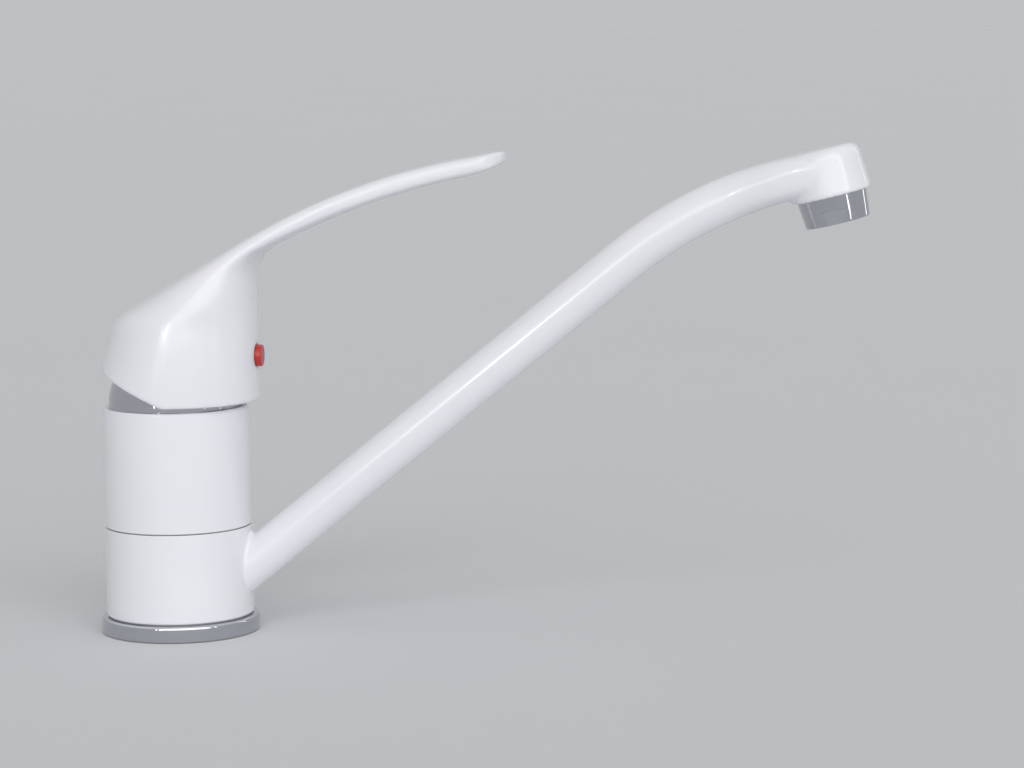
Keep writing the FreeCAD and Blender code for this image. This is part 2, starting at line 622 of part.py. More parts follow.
def spout_head():
    """Cast head: a flare from the tube into a round nozzle, bored for the water and the aerator."""
    body = form("spout_head", head_sections())
    turn(body, "nozzle", [
        ("0", "0"), ("head_radius - head_edge", "0"), ("head_radius", "head_edge"),
        ("head_radius - head_draft", "head_height - head_round", "head_round", "left"),
        ("head_radius - head_draft - head_round", "head_height"), ("0", "head_height")])
    ring(body, "aerator_thread", "0", "head_thread", "0", "head_thread_depth", cut=True)
    ring(body, "water_way_down", "0", "tube_bore", "head_thread_depth", "head_axis", cut=True)
    before = volume(body)
    profile = sketch_on(body, "YZ_Plane", "water_section")
    draw(profile, [("0", "head_axis", "tube_bore")])
    spine = sketch_on(body, "XZ_Plane", "water_route")
    bend_start = FreeCAD.Vector(value(BEND_END), value("head_axis"), 0)
    back_x = "%s - bend_radius * sin(head_start)" % BEND_END
    back_z = "head_axis - bend_radius * (1 - cos(head_start))"
    line = spine.addGeometry(Part.LineSegment(FreeCAD.Vector(0, value("head_axis"), 0), bend_start))
    pin_point(spine, line, 1, "0", "head_axis")
    pin_point(spine, line, 2, BEND_END, "head_axis")
    arc, first, last = draw_arc(spine, bend_start, FreeCAD.Vector(value(back_x), value(back_z), 0),
                                value("bend_radius"), "left")
    spine.addConstraint(Sketcher.Constraint("Tangent", line, 2, arc, first))
    number = spine.addConstraint(Sketcher.Constraint("Radius", arc, value("bend_radius")))
    tie(spine, "Constraints[%d]" % number, "bend_radius")
    number = spine.addConstraint(Sketcher.Constraint("DistanceX", -1, 1, arc, last, value(back_x)))
    tie(spine, "Constraints[%d]" % number, back_x)
    pipe = body.newObject("PartDesign::SubtractivePipe", "water_way")
    pipe.Profile = profile
    pipe.Spine = spine
    check_change(body, "water_way", before, -1)
    place(body, **HEAD_PLACE)


HOUSING_TOP = "(head_thread_depth - washer_height)"
HOUSING_LIP = "(aerator_lip - aerator_proud)"
CORE_LOW = "(%s + screen_thickness * 3)" % HOUSING_LIP
OUTLET_SIDE = "(aerator_skirt - aerator_taper)"
INSIDE = "(%s - aerator_wall)" % OUTLET_SIDE


def aerator():
    """Chrome housing screwed into the head, with two screens, a jet core, a strainer and a washer."""
    body = new_body("aerator_housing")
    turn(body, "shell", [
        (INSIDE + " - aerator_lip", "-aerator_proud"),
        (OUTLET_SIDE + " - aerator_lip / 2", "-aerator_proud"),
        (OUTLET_SIDE, "aerator_lip / 2 - aerator_proud"), ("aerator_skirt", "0"),
        ("aerator_radius", "aerator_radius - aerator_skirt"), ("aerator_radius", HOUSING_TOP),
        (INSIDE, HOUSING_TOP), (INSIDE, HOUSING_LIP), (INSIDE + " - aerator_lip", HOUSING_LIP)])
    for sign in ("", "-"):
        flat = rectangle("-aerator_radius", "aerator_radius",
                         sign + "aerator_flat", sign + "aerator_radius")
        raise_up(body, "flat" + ("" if sign else "_front"), [flat],
                 "-aerator_proud", "aerator_flat_height - aerator_proud", cut=True)
    place(body, **HEAD_PLACE)
    body = new_body("aerator_core")
    ring(body, "plug", "0", INSIDE + " - running_gap", CORE_LOW, CORE_LOW + " + core_height")
    hole = raise_up(body, "jet", [("jet_ring", "0", "jet_radius")], CORE_LOW,
                    CORE_LOW + " + core_height", cut=True)
    around(body, hole, JETS)
    place(body, **HEAD_PLACE)
    for name, low in (("aerator_lower_screen", HOUSING_LIP),
                      ("aerator_upper_screen", HOUSING_LIP + " + screen_thickness * 2")):
        screen(name, low)
    body = new_body("aerator_strainer")
    low = CORE_LOW + " + core_height"
    turn(body, "cup", [
        ("0", low + " + strainer_rise - strainer_wall"),
        ("strainer_radius - strainer_wall", low + " + strainer_wall"),
        ("strainer_radius - strainer_wall", low), (INSIDE + " - running_gap", low),
        (INSIDE + " - running_gap", low + " + strainer_wall"), ("strainer_radius", low + " + strainer_wall"),
        ("0", low + " + strainer_rise")])
    place(body, **HEAD_PLACE)
    body = new_body("aerator_washer")
    ring(body, "ring", "strainer_radius + strainer_wall", "aerator_radius - running_gap",
         HOUSING_TOP, "head_thread_depth")
    place(body, **HEAD_PLACE)


def around(body, feature, count):
    """Repeat a feature round the upright axis."""
    pattern = body.newObject("PartDesign::PolarPattern", feature.Name + "_pattern")
    pattern.Originals = [feature]
    pattern.Axis = (feature.Profile[0], ["N_Axis"])
    pattern.Angle = 360
    pattern.Occurrences = count
    before = volume(body)
    body.Tip = pattern
    check_change(body, pattern.Name, before, -1)


def screen(name, low):
    """A round frame with crossed bars."""
    body = new_body(name)
    high = low + " + screen_thickness"
    outer = INSIDE + " - running_gap"
    ring(body, "frame", outer + " - screen_bar * 3", outer, low, high)
    for direction in ("along", "across"):
        bars = []
        for step in range(-SCREEN_STEPS, SCREEN_STEPS + 1):
            middle = "%d * screen_pitch" % step
            reach = "sqrt((%s - screen_bar) ^ 2 - (%s) ^ 2)" % (outer, middle)
            sides = (middle + " - screen_bar / 2", middle + " + screen_bar / 2")
            ends = ("-1 * " + reach, reach)
            bars.append(rectangle(*ends, *sides) if direction == "along" else rectangle(*sides, *ends))
        raise_up(body, "bars_" + direction, bars, low, high)
    place(body, **HEAD_PLACE)


# The cartridge's heights, from its base upwards

BASE_TOP = "(housing_bottom + base_spigot)"
FIXED_TOP = "(%s + fixed_disc_thickness)" % BASE_TOP
MOVING_LOW = "(%s + running_gap)" % FIXED_TOP
CARRIER_LOW = "(%s + moving_disc_thickness)" % MOVING_LOW
CARRIER_TOP = "(%s + carrier_thickness)" % CARRIER_LOW
TURRET_LOW = "(%s + running_gap * 2)" % CARRIER_TOP
TURRET_FLANGE_TOP = "(housing_shoulder - housing_roof - running_gap * 2)"
HALF_LIFT = "(lift_range / 2)"
DISC_REST = "-ball_drop * sin(%s)" % HALF_LIFT


def cartridge_fixed():
    """Base, seals, fixed disc and housing, held down in the drum by the nut."""
    body = new_body("cartridge_base")
    ring(body, "plate", "0", "cartridge_radius - fixed_disc_gap",
         "seat_height + base_lift", "housing_bottom")
    ring(body, "spigot", "0", "housing_inner - fixed_disc_gap", "housing_bottom", BASE_TOP)
    ports = [(x, y, "channel_radius") for x, y in PORTS]
    raise_up(body, "ports", ports, "seat_height", BASE_TOP, cut=True)
    recess = [(x, y, "channel_radius + port_seal_width + running_gap") for x, y in PORTS]
    raise_up(body, "lower_recess", recess,
             "seat_height", "seat_height + port_seal_height + running_gap", cut=True)
    raise_up(body, "upper_recess", recess, BASE_TOP + " - port_seal_height", BASE_TOP, cut=True)
    pegs = [("0", sign + "peg_side", "peg_radius") for sign in ("", "-")]
    raise_up(body, "pegs", pegs, "seat_height - peg_depth", "seat_height + base_lift * 2")
    for name, low in (("port_seals", "seat_height"), ("disc_seals", BASE_TOP + " - port_seal_height")):
        seals(name, low)
    body = new_body("fixed_disc")
    ring(body, "disc", "0", "housing_inner - fixed_disc_gap", BASE_TOP, FIXED_TOP)
    raise_up(body, "ports", ports, BASE_TOP, FIXED_TOP, cut=True)
    body = new_body("cartridge_housing")
    turn(body, "shell", [
        ("housing_inner", "housing_bottom"), ("cartridge_radius", "housing_bottom"),
        ("cartridge_radius", "housing_shoulder"), ("neck_outer", "housing_shoulder"),
        ("neck_outer", "neck_top"), ("neck_inner", "neck_top"),
        ("neck_inner", "housing_shoulder - housing_roof"),
        ("housing_inner", "housing_shoulder - housing_roof")])


def seals(name, low):
    """Three rubber rings, one round each port, in one node."""
    rings = doc.addObject("Part::MultiFuse", name + "_rings")
    parts = []
    for number, (x, y) in enumerate(PORTS):
        tubes = []
        for side, radius in (("outer", "channel_radius + port_seal_width"), ("inner", "channel_radius")):
            tube = doc.addObject("Part::Cylinder", "%s_%s_%d" % (name, side, number))
            tie(tube, "Radius", radius)
            tie(tube, "Height", "port_seal_height")
            place(tube, x=x, y=y, z=low)
            tubes.append(tube)
        cut = doc.addObject("Part::Cut", "%s_ring_%d" % (name, number))
        cut.Base, cut.Tool = tubes
        parts.append(cut)
    rings.Shapes = parts
    rings.Label = name
    NODES.append(rings)


def cartridge_moving():
    """Moving disc and its carrier, drawn on the axis and placed where the shut lever holds them."""
    body = new_body("moving_disc")
    ring(body, "disc", "0", "moving_disc_radius", MOVING_LOW, CARRIER_LOW)
    ring(body, "mixing_pocket", "0", "mixing_pocket",
         MOVING_LOW, MOVING_LOW + " + pocket_depth", cut=True)
    place(body, x=DISC_REST)
    body = new_body("disc_carrier")
    ring(body, "plate", "0", "carrier_radius", CARRIER_LOW, CARRIER_TOP)
    rail = rectangle("-rail_length / 2", "rail_length / 2", "-rail_width / 2 + running_gap",
                     "rail_width / 2 - running_gap")
    raise_up(body, "rail", [rail], CARRIER_TOP + " - running_gap", CARRIER_TOP + " + carrier_rail")
    floor = "pivot_height - ball_drop - ball_radius - seal_gap"
    ring(body, "ball_socket", "0", "ball_radius + running_gap",
         floor, CARRIER_TOP + " + carrier_rail", cut=True)
    place(body, x=DISC_REST)


def turret():
    """Plastic turret in the cartridge's neck. It turns with the lever and carries the pivot pin."""
    body = new_body("turret")
    turn(body, "outside", [
        ("0", TURRET_LOW), ("turret_flange", TURRET_LOW), ("turret_flange", TURRET_FLANGE_TOP),
        ("neck_inner - running_gap", TURRET_FLANGE_TOP), ("neck_inner - running_gap", "neck_top"),
        ("0", "neck_top")])
    slot = rectangle("-turret_slot_length / 2", "turret_slot_length / 2",
                     "-turret_slot / 2", "turret_slot / 2")
    raise_up(body, "spindle_slot", [slot], TURRET_LOW, "neck_top", cut=True)
    groove = rectangle("-turret_flange", "turret_flange", "-rail_width / 2", "rail_width / 2")
    raise_up(body, "rail_groove", [groove],
             TURRET_LOW, TURRET_LOW + " + carrier_rail + running_gap", cut=True)
    primitive(body, "pin_hole", "Cylinder", True,
              {"Radius": "pin_radius + running_gap / 2", "Height": "neck_inner * 2"},
              y="neck_inner", z="pivot_height", axis=FreeCAD.Vector(1, 0, 0), angle="90")
    body = new_body("pivot_pin")
    primitive(body, "pin", "Cylinder", False, {"Radius": "pin_radius", "Height": "pin_length"},
              y="pin_length / 2", z="pivot_height", axis=FreeCAD.Vector(1, 0, 0), angle="90")


def on_stem(along, out):
    """A point by its distance from the pivot along the stem and its distance ahead of the stem."""
    return ("(%s) * sin(%s) + (%s) * cos(%s)" % (along, HALF_LIFT, out, HALF_LIFT),
            "pivot_height + (%s) * cos(%s) - (%s) * sin(%s)" % (along, HALF_LIFT, out, HALF_LIFT))


def spindle():
    """Square stem, pivot block, neck and ball, drawn upright about the pivot and leaned forward."""
    body = new_body("spindle")
    square = rectangle("-stem_width / 2", "stem_width / 2", "-stem_width / 2", "stem_width / 2")
    raise_up(body, "stem", [square], "0", "stem_length")
    block = rectangle("-eye_width / 2", "eye_width / 2", "-eye_width / 2", "eye_width / 2")
    raise_up(body, "block", [block], "-eye_height", "eye_height")
    raise_up(body, "neck", [("0", "0", "ball_neck")], "-ball_drop", "-eye_height / 2")
    primitive(body, "ball", "Sphere", False, {"Radius": "ball_radius"}, z="-ball_drop")
    primitive(body, "pin_hole", "Cylinder", True,
              {"Radius": "pin_radius + running_gap", "Height": "eye_width * 2"},
              y="eye_width", axis=FreeCAD.Vector(1, 0, 0), angle="90")
    place(body, z="pivot_height", angle=HALF_LIFT)


COLLAR_TOP = "(drum_top + nut_collar_height)"
RING_MIDDLE = "(dome_radius - dome_wall - dome_ring_section - running_gap)"


def nut_and_dome():
    """Brass nut that holds the cartridge, and the chrome dome that hides it."""
    body = new_body("cartridge_nut")
    turn(body, "thread", [
        ("nut_bore", "housing_shoulder"), ("nut_radius", "housing_shoulder"), ("nut_radius", "drum_top"),
        ("nut_collar", "drum_top"), ("nut_collar", COLLAR_TOP), ("nut_bore", COLLAR_TOP)])
    raise_up(body, "hexagon", [hexagon("nut_flats"), ("0", "0", "nut_bore")], COLLAR_TOP,
             COLLAR_TOP + " + nut_hex_height")
    groove = "drum_top + nut_collar_height / 2"
    half = "(dome_ring_section + running_gap)"
    ring(body, "ring_groove", "%s - %s" % (RING_MIDDLE, half), "nut_collar + running_gap",
         "%s - %s" % (groove, half), "%s + %s" % (groove, half), cut=True)
    body = new_body("dome_ring")
    sketch = sketch_on(body, "XZ_Plane", "section")
    draw(sketch, [(RING_MIDDLE, groove, "dome_ring_section")])
    feature = body.newObject("PartDesign::Revolution", "ring")
    feature.Profile = sketch
    feature.ReferenceAxis = (sketch, ["V_Axis"])
    feature.Angle = 360
    body = new_body("dome_cap")
    low = "drum_top - pivot_height"
    inner = "(dome_radius - dome_wall)"
    turn(body, "shell", [
        ("sqrt(%s ^ 2 - (%s) ^ 2)" % (inner, low), low),
        ("sqrt(dome_radius ^ 2 - (%s) ^ 2)" % low, low, "dome_radius", "left"),
        ("sqrt(dome_radius ^ 2 - dome_rise ^ 2)", "dome_rise"),
        ("sqrt(%s ^ 2 - dome_rise ^ 2)" % inner, "dome_rise", inner, "right")])
    place(body, z="pivot_height")


def distance_to(edges, piece, share):
    """How far along a guide a share of one of its edges lies."""
    return sum(edge.Length for edge in edges[:piece]) + edges[piece].Length * share


def point_along(edges, distance):
    for edge in edges[:-1]:
        if distance <= edge.Length:
            return edge.valueAt(edge.getParameterByLength(distance))
        distance -= edge.Length
    return edges[-1].valueAt(edges[-1].getParameterByLength(min(distance, edges[-1].Length)))


def flow(values, position):
    """Smooth curve through evenly spaced values, read between them."""
    at = min(int(position), len(values) - 2)
    part = position - at
    here, ahead = values[at], values[at + 1]
    before = values[at - 1] if at > 0 else 2 * here - ahead
    after = values[at + 2] if at + 2 < len(values) else 2 * ahead - here
    bend = 2 * before - 5 * here + 4 * ahead - after + part * (3 * (here - ahead) + after - before)
    return here + part / 2 * (ahead - before + part * bend)


# The roof lies a named thickness off the hollow, which gives the height where the lever's curve begins

ROOF_HEIGHT = "(pivot_height + (cavity_radius + roof_wall + roof_forward * sin(roof_slope))" \
              " / cos(roof_slope))"


def handle_guides():
    """The handle's outline from the side: its back and top, and its front and underside."""
    rim = value("drum_top + rim_gap")
    slope, back_lean, front_lean = (math.radians(value(name))
                                    for name in ("roof_slope", "bell_back_lean", "bell_front_lean"))
    roof_end = FreeCAD.Vector(value("roof_forward"), 0, value(ROOF_HEIGHT))
    roof_way = FreeCAD.Vector(math.cos(slope), 0, math.sin(slope))
    wall_way = FreeCAD.Vector(math.sin(back_lean), 0, math.cos(back_lean))
    wall_start = FreeCAD.Vector(-value("bell_back"), 0, rim)
    gap = roof_end - wall_start
    reach = (gap.x * roof_way.z - gap.z * roof_way.x) / (wall_way.x * roof_way.z - wall_way.z * roof_way.x)
    corner = wall_start + wall_way * reach
    trim = value("bell_corner") * math.tan((math.pi / 2 - back_lean - slope) / 2)
    wall_end, roof_start = corner - wall_way * trim, corner + roof_way * trim
    centre = wall_end + FreeCAD.Vector(wall_way.z, 0, -wall_way.x) * value("bell_corner")
    bulge = centre + (corner - centre).normalize() * value("bell_corner")
    top_radius = value("lever_radius")
    hub = roof_end + FreeCAD.Vector(roof_way.z, 0, -roof_way.x) * top_radius

    def on_circle(x, radius):
        return FreeCAD.Vector(x, 0, hub.z + math.sqrt(radius ** 2 - (x - hub.x) ** 2))
    tip = value("lever_reach + cutter_start")
    top_end = on_circle(tip, top_radius)
    skirt = wall_start - wall_way * value("bell_skirt")
    back = [Part.LineSegment(skirt, wall_end), Part.Arc(wall_end, bulge, roof_start),
            Part.LineSegment(roof_start, roof_end),
            Part.Arc(roof_end, on_circle((roof_end.x + tip) / 2, top_radius), top_end)]
    under_radius = top_radius - value("lever_thickness")
    front_way = FreeCAD.Vector(math.sin(front_lean), 0, math.cos(front_lean))
    front_out = FreeCAD.Vector(front_way.z, 0, -front_way.x)
    front_start = FreeCAD.Vector(value("bell_front"), 0, rim)
    hollow = value("lever_corner")
    track = front_start + front_out * hollow - hub
    along = track.dot(front_way)
    up = -along + math.sqrt(along ** 2 - track.dot(track) + (under_radius - hollow) ** 2)
    hollow_centre = hub + track + front_way * up
    front_end = hollow_centre - front_out * hollow
    under_start = hollow_centre + (hollow_centre - hub).normalize() * hollow
    halfway = ((front_end - hollow_centre) + (under_start - hollow_centre)).normalize() * hollow
    tip_way = (top_end - hub).normalize()
    under_end = top_end - tip_way * value("lever_tip_thickness")
    under_middle = on_circle((under_start.x + under_end.x) / 2, under_radius)
    low = front_start - front_way * value("bell_skirt") * 2
    front = [Part.LineSegment(low, front_end), Part.Arc(front_end, hollow_centre + halfway, under_start),
             Part.Arc(under_start, under_middle, under_end)]
    return [item.toShape() for item in back], [item.toShape() for item in front]


WALL, CORNER, ROOF, TOP = range(4)
FRONT, HOLLOW, UNDER = range(3)
HANDLE_STATIONS = [
    # back edge and share of it, front edge and share of it, share of the bell's width, squareness
    (WALL, 0.00, FRONT, 0.00, 1.00, 2.0),
    (WALL, 0.33, FRONT, 0.22, 1.00, 2.0),
    (WALL, 0.66, FRONT, 0.43, 0.97, 2.0),
    (WALL, 1.00, FRONT, 0.63, 0.91, 2.0),
    (ROOF, 0.14, FRONT, 0.80, 0.79, 2.0),
    (ROOF, 0.35, FRONT, 0.94, 0.61, 2.1),
    (ROOF, 0.56, HOLLOW, 0.29, 0.41, 2.2),
    (ROOF, 0.77, HOLLOW, 0.77, 0.23, 2.4),
    (ROOF, 0.99, UNDER, 0.04, 0.10, 2.7),
    (TOP, 0.11, UNDER, 0.14, 0.03, 3.1),
    (TOP, 0.22, UNDER, 0.25, 0.00, 3.6),
    (TOP, 0.34, UNDER, 0.37, 0.00, 4.0),
    (TOP, 0.54, UNDER, 0.59, 0.00, 4.2),
    (TOP, 0.75, UNDER, 0.80, 0.00, 4.2),
    (TOP, 1.00, UNDER, 1.00, 0.00, 4.2),
]


def handle_sections():
    """Ovals that turn from level ones in the bell to upright ones across the lever."""
    back, front = handle_guides()
    highs = [distance_to(back, row[0], row[1]) for row in HANDLE_STATIONS]
    lows = [distance_to(front, row[2], row[3]) for row in HANDLE_STATIONS]
    width_shares = [row[4] for row in HANDLE_STATIONS]
    corners = [row[5] for row in HANDLE_STATIONS]
    sections = []
    for step in range((len(HANDLE_STATIONS) - 1) * OVALS_PER_STATION + 1):
        position = step / OVALS_PER_STATION
        high, low = point_along(back, flow(highs, position)), point_along(front, flow(lows, position))
        blade = max(0.0, high.x / value("lever_reach"))
        lever_side = value("lever_root_side") + blade * value("lever_tip_side - lever_root_side")
        side = lever_side + (value("bell_side") - lever_side) * flow(width_shares, position)
        middle, across = (high + low) * 0.5, high - low
        sections.append((middle, across.normalize(), (high - low).Length / 2, side, flow(corners, position)))
    return sections


# Distance from the stem to the front wall, along the grub screw, and the height where it gets there

PLUG_OUT = "((bell_front - screw_height * sin({half}) + (pivot_height + screw_height * cos({half})" \
           " - drum_top - rim_gap) * tan(bell_front_lean)) / (cos({half}) + sin({half})" \
           " * tan(bell_front_lean)))".format(half=HALF_LIFT)
PLUG_HEIGHT = on_stem("screw_height", PLUG_OUT)[1]
PLUG_WALL = "(bell_front + (%s - drum_top - rim_gap) * tan(bell_front_lean))" % PLUG_HEIGHT
PLUG_PLACE = {"x": PLUG_WALL + " - plug_seat", "z": PLUG_HEIGHT, "angle": "90 + bell_front_lean"}


def handle():
    """Bell and lever in one casting: hollow over the dome, with a boss round the stem."""
    body = form("handle", handle_sections())
    before = volume(body)
    rim = "(drum_top + rim_gap)"
    sketch = sketch_on(body, "XZ_Plane", "rim_outline")
    reach = "(bell_back * 2)"
    draw(sketch, [[("-1 * " + reach, "0"), (reach, "0"), (reach, rim), ("rim_cut_ahead", rim),
                   ("-1 * " + reach, "%s + (%s + rim_cut_ahead) * tan(rim_cut_angle)" % (rim, reach))]])
    pocket = body.newObject("PartDesign::Pocket", "rim_cut")
    pocket.Profile = sketch
    pocket.Midplane = True
    tie(pocket, "Length", "bell_side * 4")
    check_change(body, "rim_cut", before, -1)
    centre = "(lever_reach - lever_tip_round)"
    side = "lever_tip_round * sin(lever_tip_sweep)"
    corner = centre + " + lever_tip_round * cos(lever_tip_sweep)"
    past = "lever_reach + lever_tip_round"
    raise_up(body, "tip_cut", [[
        (corner, "-1 * " + side, "lever_tip_round", "left"), (corner, side),
        (past, side), (past, "-1 * " + side)]],
        ROOF_HEIGHT + " - bell_side", ROOF_HEIGHT + " + bell_side * 2", cut=True)
    blade = value(centre)
    fillet(body, "tip_edges", "lever_tip_edge",
           lambda edge: edge.BoundBox.XMin > blade and edge.BoundBox.YLength > edge.BoundBox.ZLength)
    primitive(body, "hollow", "Sphere", True, {"Radius": "cavity_radius"}, z="pivot_height")
    x, z = on_stem("boss_start", "0")
    primitive(body, "boss", "Cylinder", False,
              {"Radius": "boss_radius", "Height": "cavity_radius - boss_start + boss_root"},
              x=x, z=z, angle=HALF_LIFT)
    socket = "(stem_width + 2 * socket_gap)"
    x, z = on_stem("boss_start - cutter_start", "-%s / 2" % socket)
    primitive(body, "square_socket", "Box", True,
              {"Length": socket, "Width": socket,
               "Height": "stem_length - boss_start + cutter_start + socket_gap"},
              x=x, y="-%s / 2" % socket, z=z, angle=HALF_LIFT)
    x, z = on_stem("screw_height", "stem_width / 4")
    primitive(body, "screw_hole", "Cylinder", True,
              {"Radius": "screw_radius + thread_gap", "Height": "bell_front"},
              x=x, z=z, angle="90 + " + HALF_LIFT)
    primitive(body, "plug_recess", "Cylinder", True,
              {"Radius": "plug_radius + running_gap", "Height": "bell_front"}, **PLUG_PLACE)


def grub_screw():
    body = new_body("grub_screw")
    raise_up(body, "shank", [("0", "0", "screw_radius")], "0", "screw_length")
    raise_up(body, "key", [hexagon("screw_key * 2")], "screw_length / 2", "screw_length", cut=True)
    x, z = on_stem("screw_height", "stem_width / 2")
    place(body, x=x, z=z, angle="90 + " + HALF_LIFT)


def index_plug():
    """Plug over the grub screw, in a red and a blue half."""
    for name, side in (("index_plug_red", -1), ("index_plug_blue", 1)):
        body = new_body(name)
        face = "plug_seat + plug_proud"
        raise_up(body, "cap", [("0", "0", "plug_radius")], "0", face)
        raise_up(body, "shank", [("0", "0", "plug_shank")], "-plug_shank_length", "0")
        edge = value(face)
        fillet(body, "cap_edge", "plug_edge",
               lambda item: abs(item.BoundBox.ZMin - edge) < NEAR and abs(item.BoundBox.ZMax - edge) < NEAR)
        away = rectangle("-plug_radius * 2", "plug_radius * 2", "0", "%d * plug_radius * 2" % -side)
        raise_up(body, "other_half", [away], "-plug_shank_length", face, cut=True)
        place(body, **PLUG_PLACE)


CLAMP_TOP = "(-deck_room)"


def fixing_kit():
    """Stud, rubber and steel horseshoes and nut, which pull the tap down on its deck."""
    body = new_body("fixing_stud")
    raise_up(body, "rod", [("-stud_back", "0", "stud_radius")],
             "gasket_thickness + stud_grip - stud_length", "gasket_thickness + stud_grip")
    levels = [CLAMP_TOP, CLAMP_TOP + " - clamp_gasket_thickness",
              CLAMP_TOP + " - clamp_gasket_thickness - clamp_plate_thickness"]
    for name, high, low in (("clamp_gasket", levels[0], levels[1]), ("clamp_plate", levels[1], levels[2])):
        body = new_body(name)
        raise_up(body, "plate", [("0", "0", "clamp_radius")], low, high)
        mouth = rectangle("-clamp_slot_back", "clamp_radius * 2", "-clamp_slot", "clamp_slot")
        raise_up(body, "mouth", [mouth], low, high, cut=True)
        raise_up(body, "stud_hole", [("-stud_back", "0", "stud_radius + seal_gap")], low, high, cut=True)
    body = new_body("clamp_nut")
    raise_up(body, "nut", [hexagon("clamp_nut_flats", "-stud_back"),
                           ("-stud_back", "0", "stud_radius + thread_gap")],
             levels[2] + " - clamp_nut_height", levels[2])


STEPS = [body_casting, base_ring, foot_rubber, glide_rings, lip_seals, spout_sleeve, spout_tube, spout_head,
         aerator, cartridge_fixed, cartridge_moving, turret, spindle, nut_and_dome, handle, grub_screw,
         index_plug, fixing_kit]


def check_and_write():
    """Write one file for each piece, after checking every object and every shape."""
    doc.recompute()
    for item in doc.Objects:
        if "Invalid" in item.State or "Error" in item.State:
            raise RuntimeError("%s failed" % item.Name)
    pieces = [item for item in doc.Objects if item.TypeId == "PartDesign::Body"] + NODES
    os.makedirs("parts", exist_ok=True)
    for piece in pieces:
        shape = piece.Shape
        if shape.isNull() or not shape.isValid():
            raise RuntimeError("%s has no valid shape" % piece.Label)
        shape.exportStep("parts/%s.step" % piece.Label)
        print("%-22s %8.0f mm3, %d solid" % (piece.Label, shape.Volume, len(shape.Solids)))


for step in STEPS:
    step()
check_and_write()
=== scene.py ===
# %% [markdown]
# A single lever kitchen tap
#
# This lesson dresses a white enamelled kitchen tap. The construction arrives ready made as a frame of
# named pieces at their real size, in metres, with +Z up and +X along the spout. The tap could be modelled
# afresh for its looks, but then every seat and running fit would have to be kept true by hand. So the
# frame stays as it is, each piece gets its finish, and only the pieces whose looks need more than plain
# solids are modelled again in place.

# %% Load the frame
import json
import math

import bmesh
import bpy
from mathutils import Matrix, Vector


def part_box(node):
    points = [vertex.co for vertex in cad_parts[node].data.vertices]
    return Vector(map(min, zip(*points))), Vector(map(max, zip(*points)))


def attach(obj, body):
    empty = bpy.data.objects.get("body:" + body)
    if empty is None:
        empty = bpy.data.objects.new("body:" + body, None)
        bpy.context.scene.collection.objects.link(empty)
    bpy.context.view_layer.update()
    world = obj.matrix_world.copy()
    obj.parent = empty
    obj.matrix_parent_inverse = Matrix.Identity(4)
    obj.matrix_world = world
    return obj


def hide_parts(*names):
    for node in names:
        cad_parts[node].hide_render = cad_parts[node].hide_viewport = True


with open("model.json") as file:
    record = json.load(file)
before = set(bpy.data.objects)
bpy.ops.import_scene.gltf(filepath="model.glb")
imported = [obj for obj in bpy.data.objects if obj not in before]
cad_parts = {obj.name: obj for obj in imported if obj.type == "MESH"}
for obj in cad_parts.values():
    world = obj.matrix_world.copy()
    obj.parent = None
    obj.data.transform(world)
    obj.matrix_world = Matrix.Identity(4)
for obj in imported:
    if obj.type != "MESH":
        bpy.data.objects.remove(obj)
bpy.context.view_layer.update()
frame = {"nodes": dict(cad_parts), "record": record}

MM = 0.001
NODES = frame["nodes"]

# %% [markdown]
# Shader maths
#
# A finish is a web of shader nodes. Written out link by link, such a web is hard to read and to change. So
# a socket is wrapped in a small class that understands + - and *. An expression such as 1 - crust * 0.3
# then adds its Math nodes by itself, and numbers alone never reach the web.

# %% A socket that can be added and multiplied
class Socket:
    def __init__(self, web, link):
        self.web, self.link = web, link

    def __add__(self, other):
        return self.web.maths("ADD", self, other)

    def __sub__(self, other):
        return self.web.maths("SUBTRACT", self, other)

    def __rsub__(self, other):
        return self.web.maths("SUBTRACT", other, self)

    def __mul__(self, other):
        return self.web.maths("MULTIPLY", self, other)

    __radd__, __rmul__ = __add__, __mul__


print("sockets understand + - and *")

# %% [markdown]
# A web of nodes
#
# Materials and the world behind the tap are both trees of shader nodes, so one class makes nodes for both.
# Any node comes from one method, which takes its type, its settings and what goes into its sockets. The
# few kinds that come back often, such as a soft ramp or a mix of two colours, get a short name each.

# %% Make any node
class Web:
    def __init__(self, tree):
        self.tree = tree
        self.tree.nodes.clear()

    def node(self, kind, settings=None, sockets=None, result=0):
        """Make a node. Its settings are set first, because some of them change which sockets it has."""
        made = self.tree.nodes.new("ShaderNode" + kind)
        for name, setting in (settings or {}).items():
            setattr(made, name, setting)
        for name, given in (sockets or {}).items():
            if isinstance(given, Socket):
                self.tree.links.new(given.link, made.inputs[name])
            else:
                made.inputs[name].default_value = given
        return Socket(self, made.outputs[result]) if made.outputs else None

    def maths(self, operation, first, second):
        return self.node("Math", {"operation": operation}, {0: first, 1: second})

    def ramp(self, given, low, high):
        """0 below low and 1 above high, with a soft slope between."""
        ends = {"Value": given, "From Min": low, "From Max": high}
        return self.node("MapRange", {"interpolation_type": "SMOOTHSTEP"}, ends)

    def mix(self, share, first, second):
        """One colour turning into another."""
        return self.node("Mix", {"data_type": "RGBA"}, {0: share, 6: first, 7: second}, result=2)


print("webs of nodes ready")

# %% [markdown]
# One finish, one material
#
# A pattern on a metal or a paint should stay where it is when the tap is turned or its lever is lifted, so
# every finish reads where a point lies in the tap's own frame. Flat maps would need the surface unrolled,
# while clouds of noise in space need nothing and have no seams. Each finish ends in one shader.

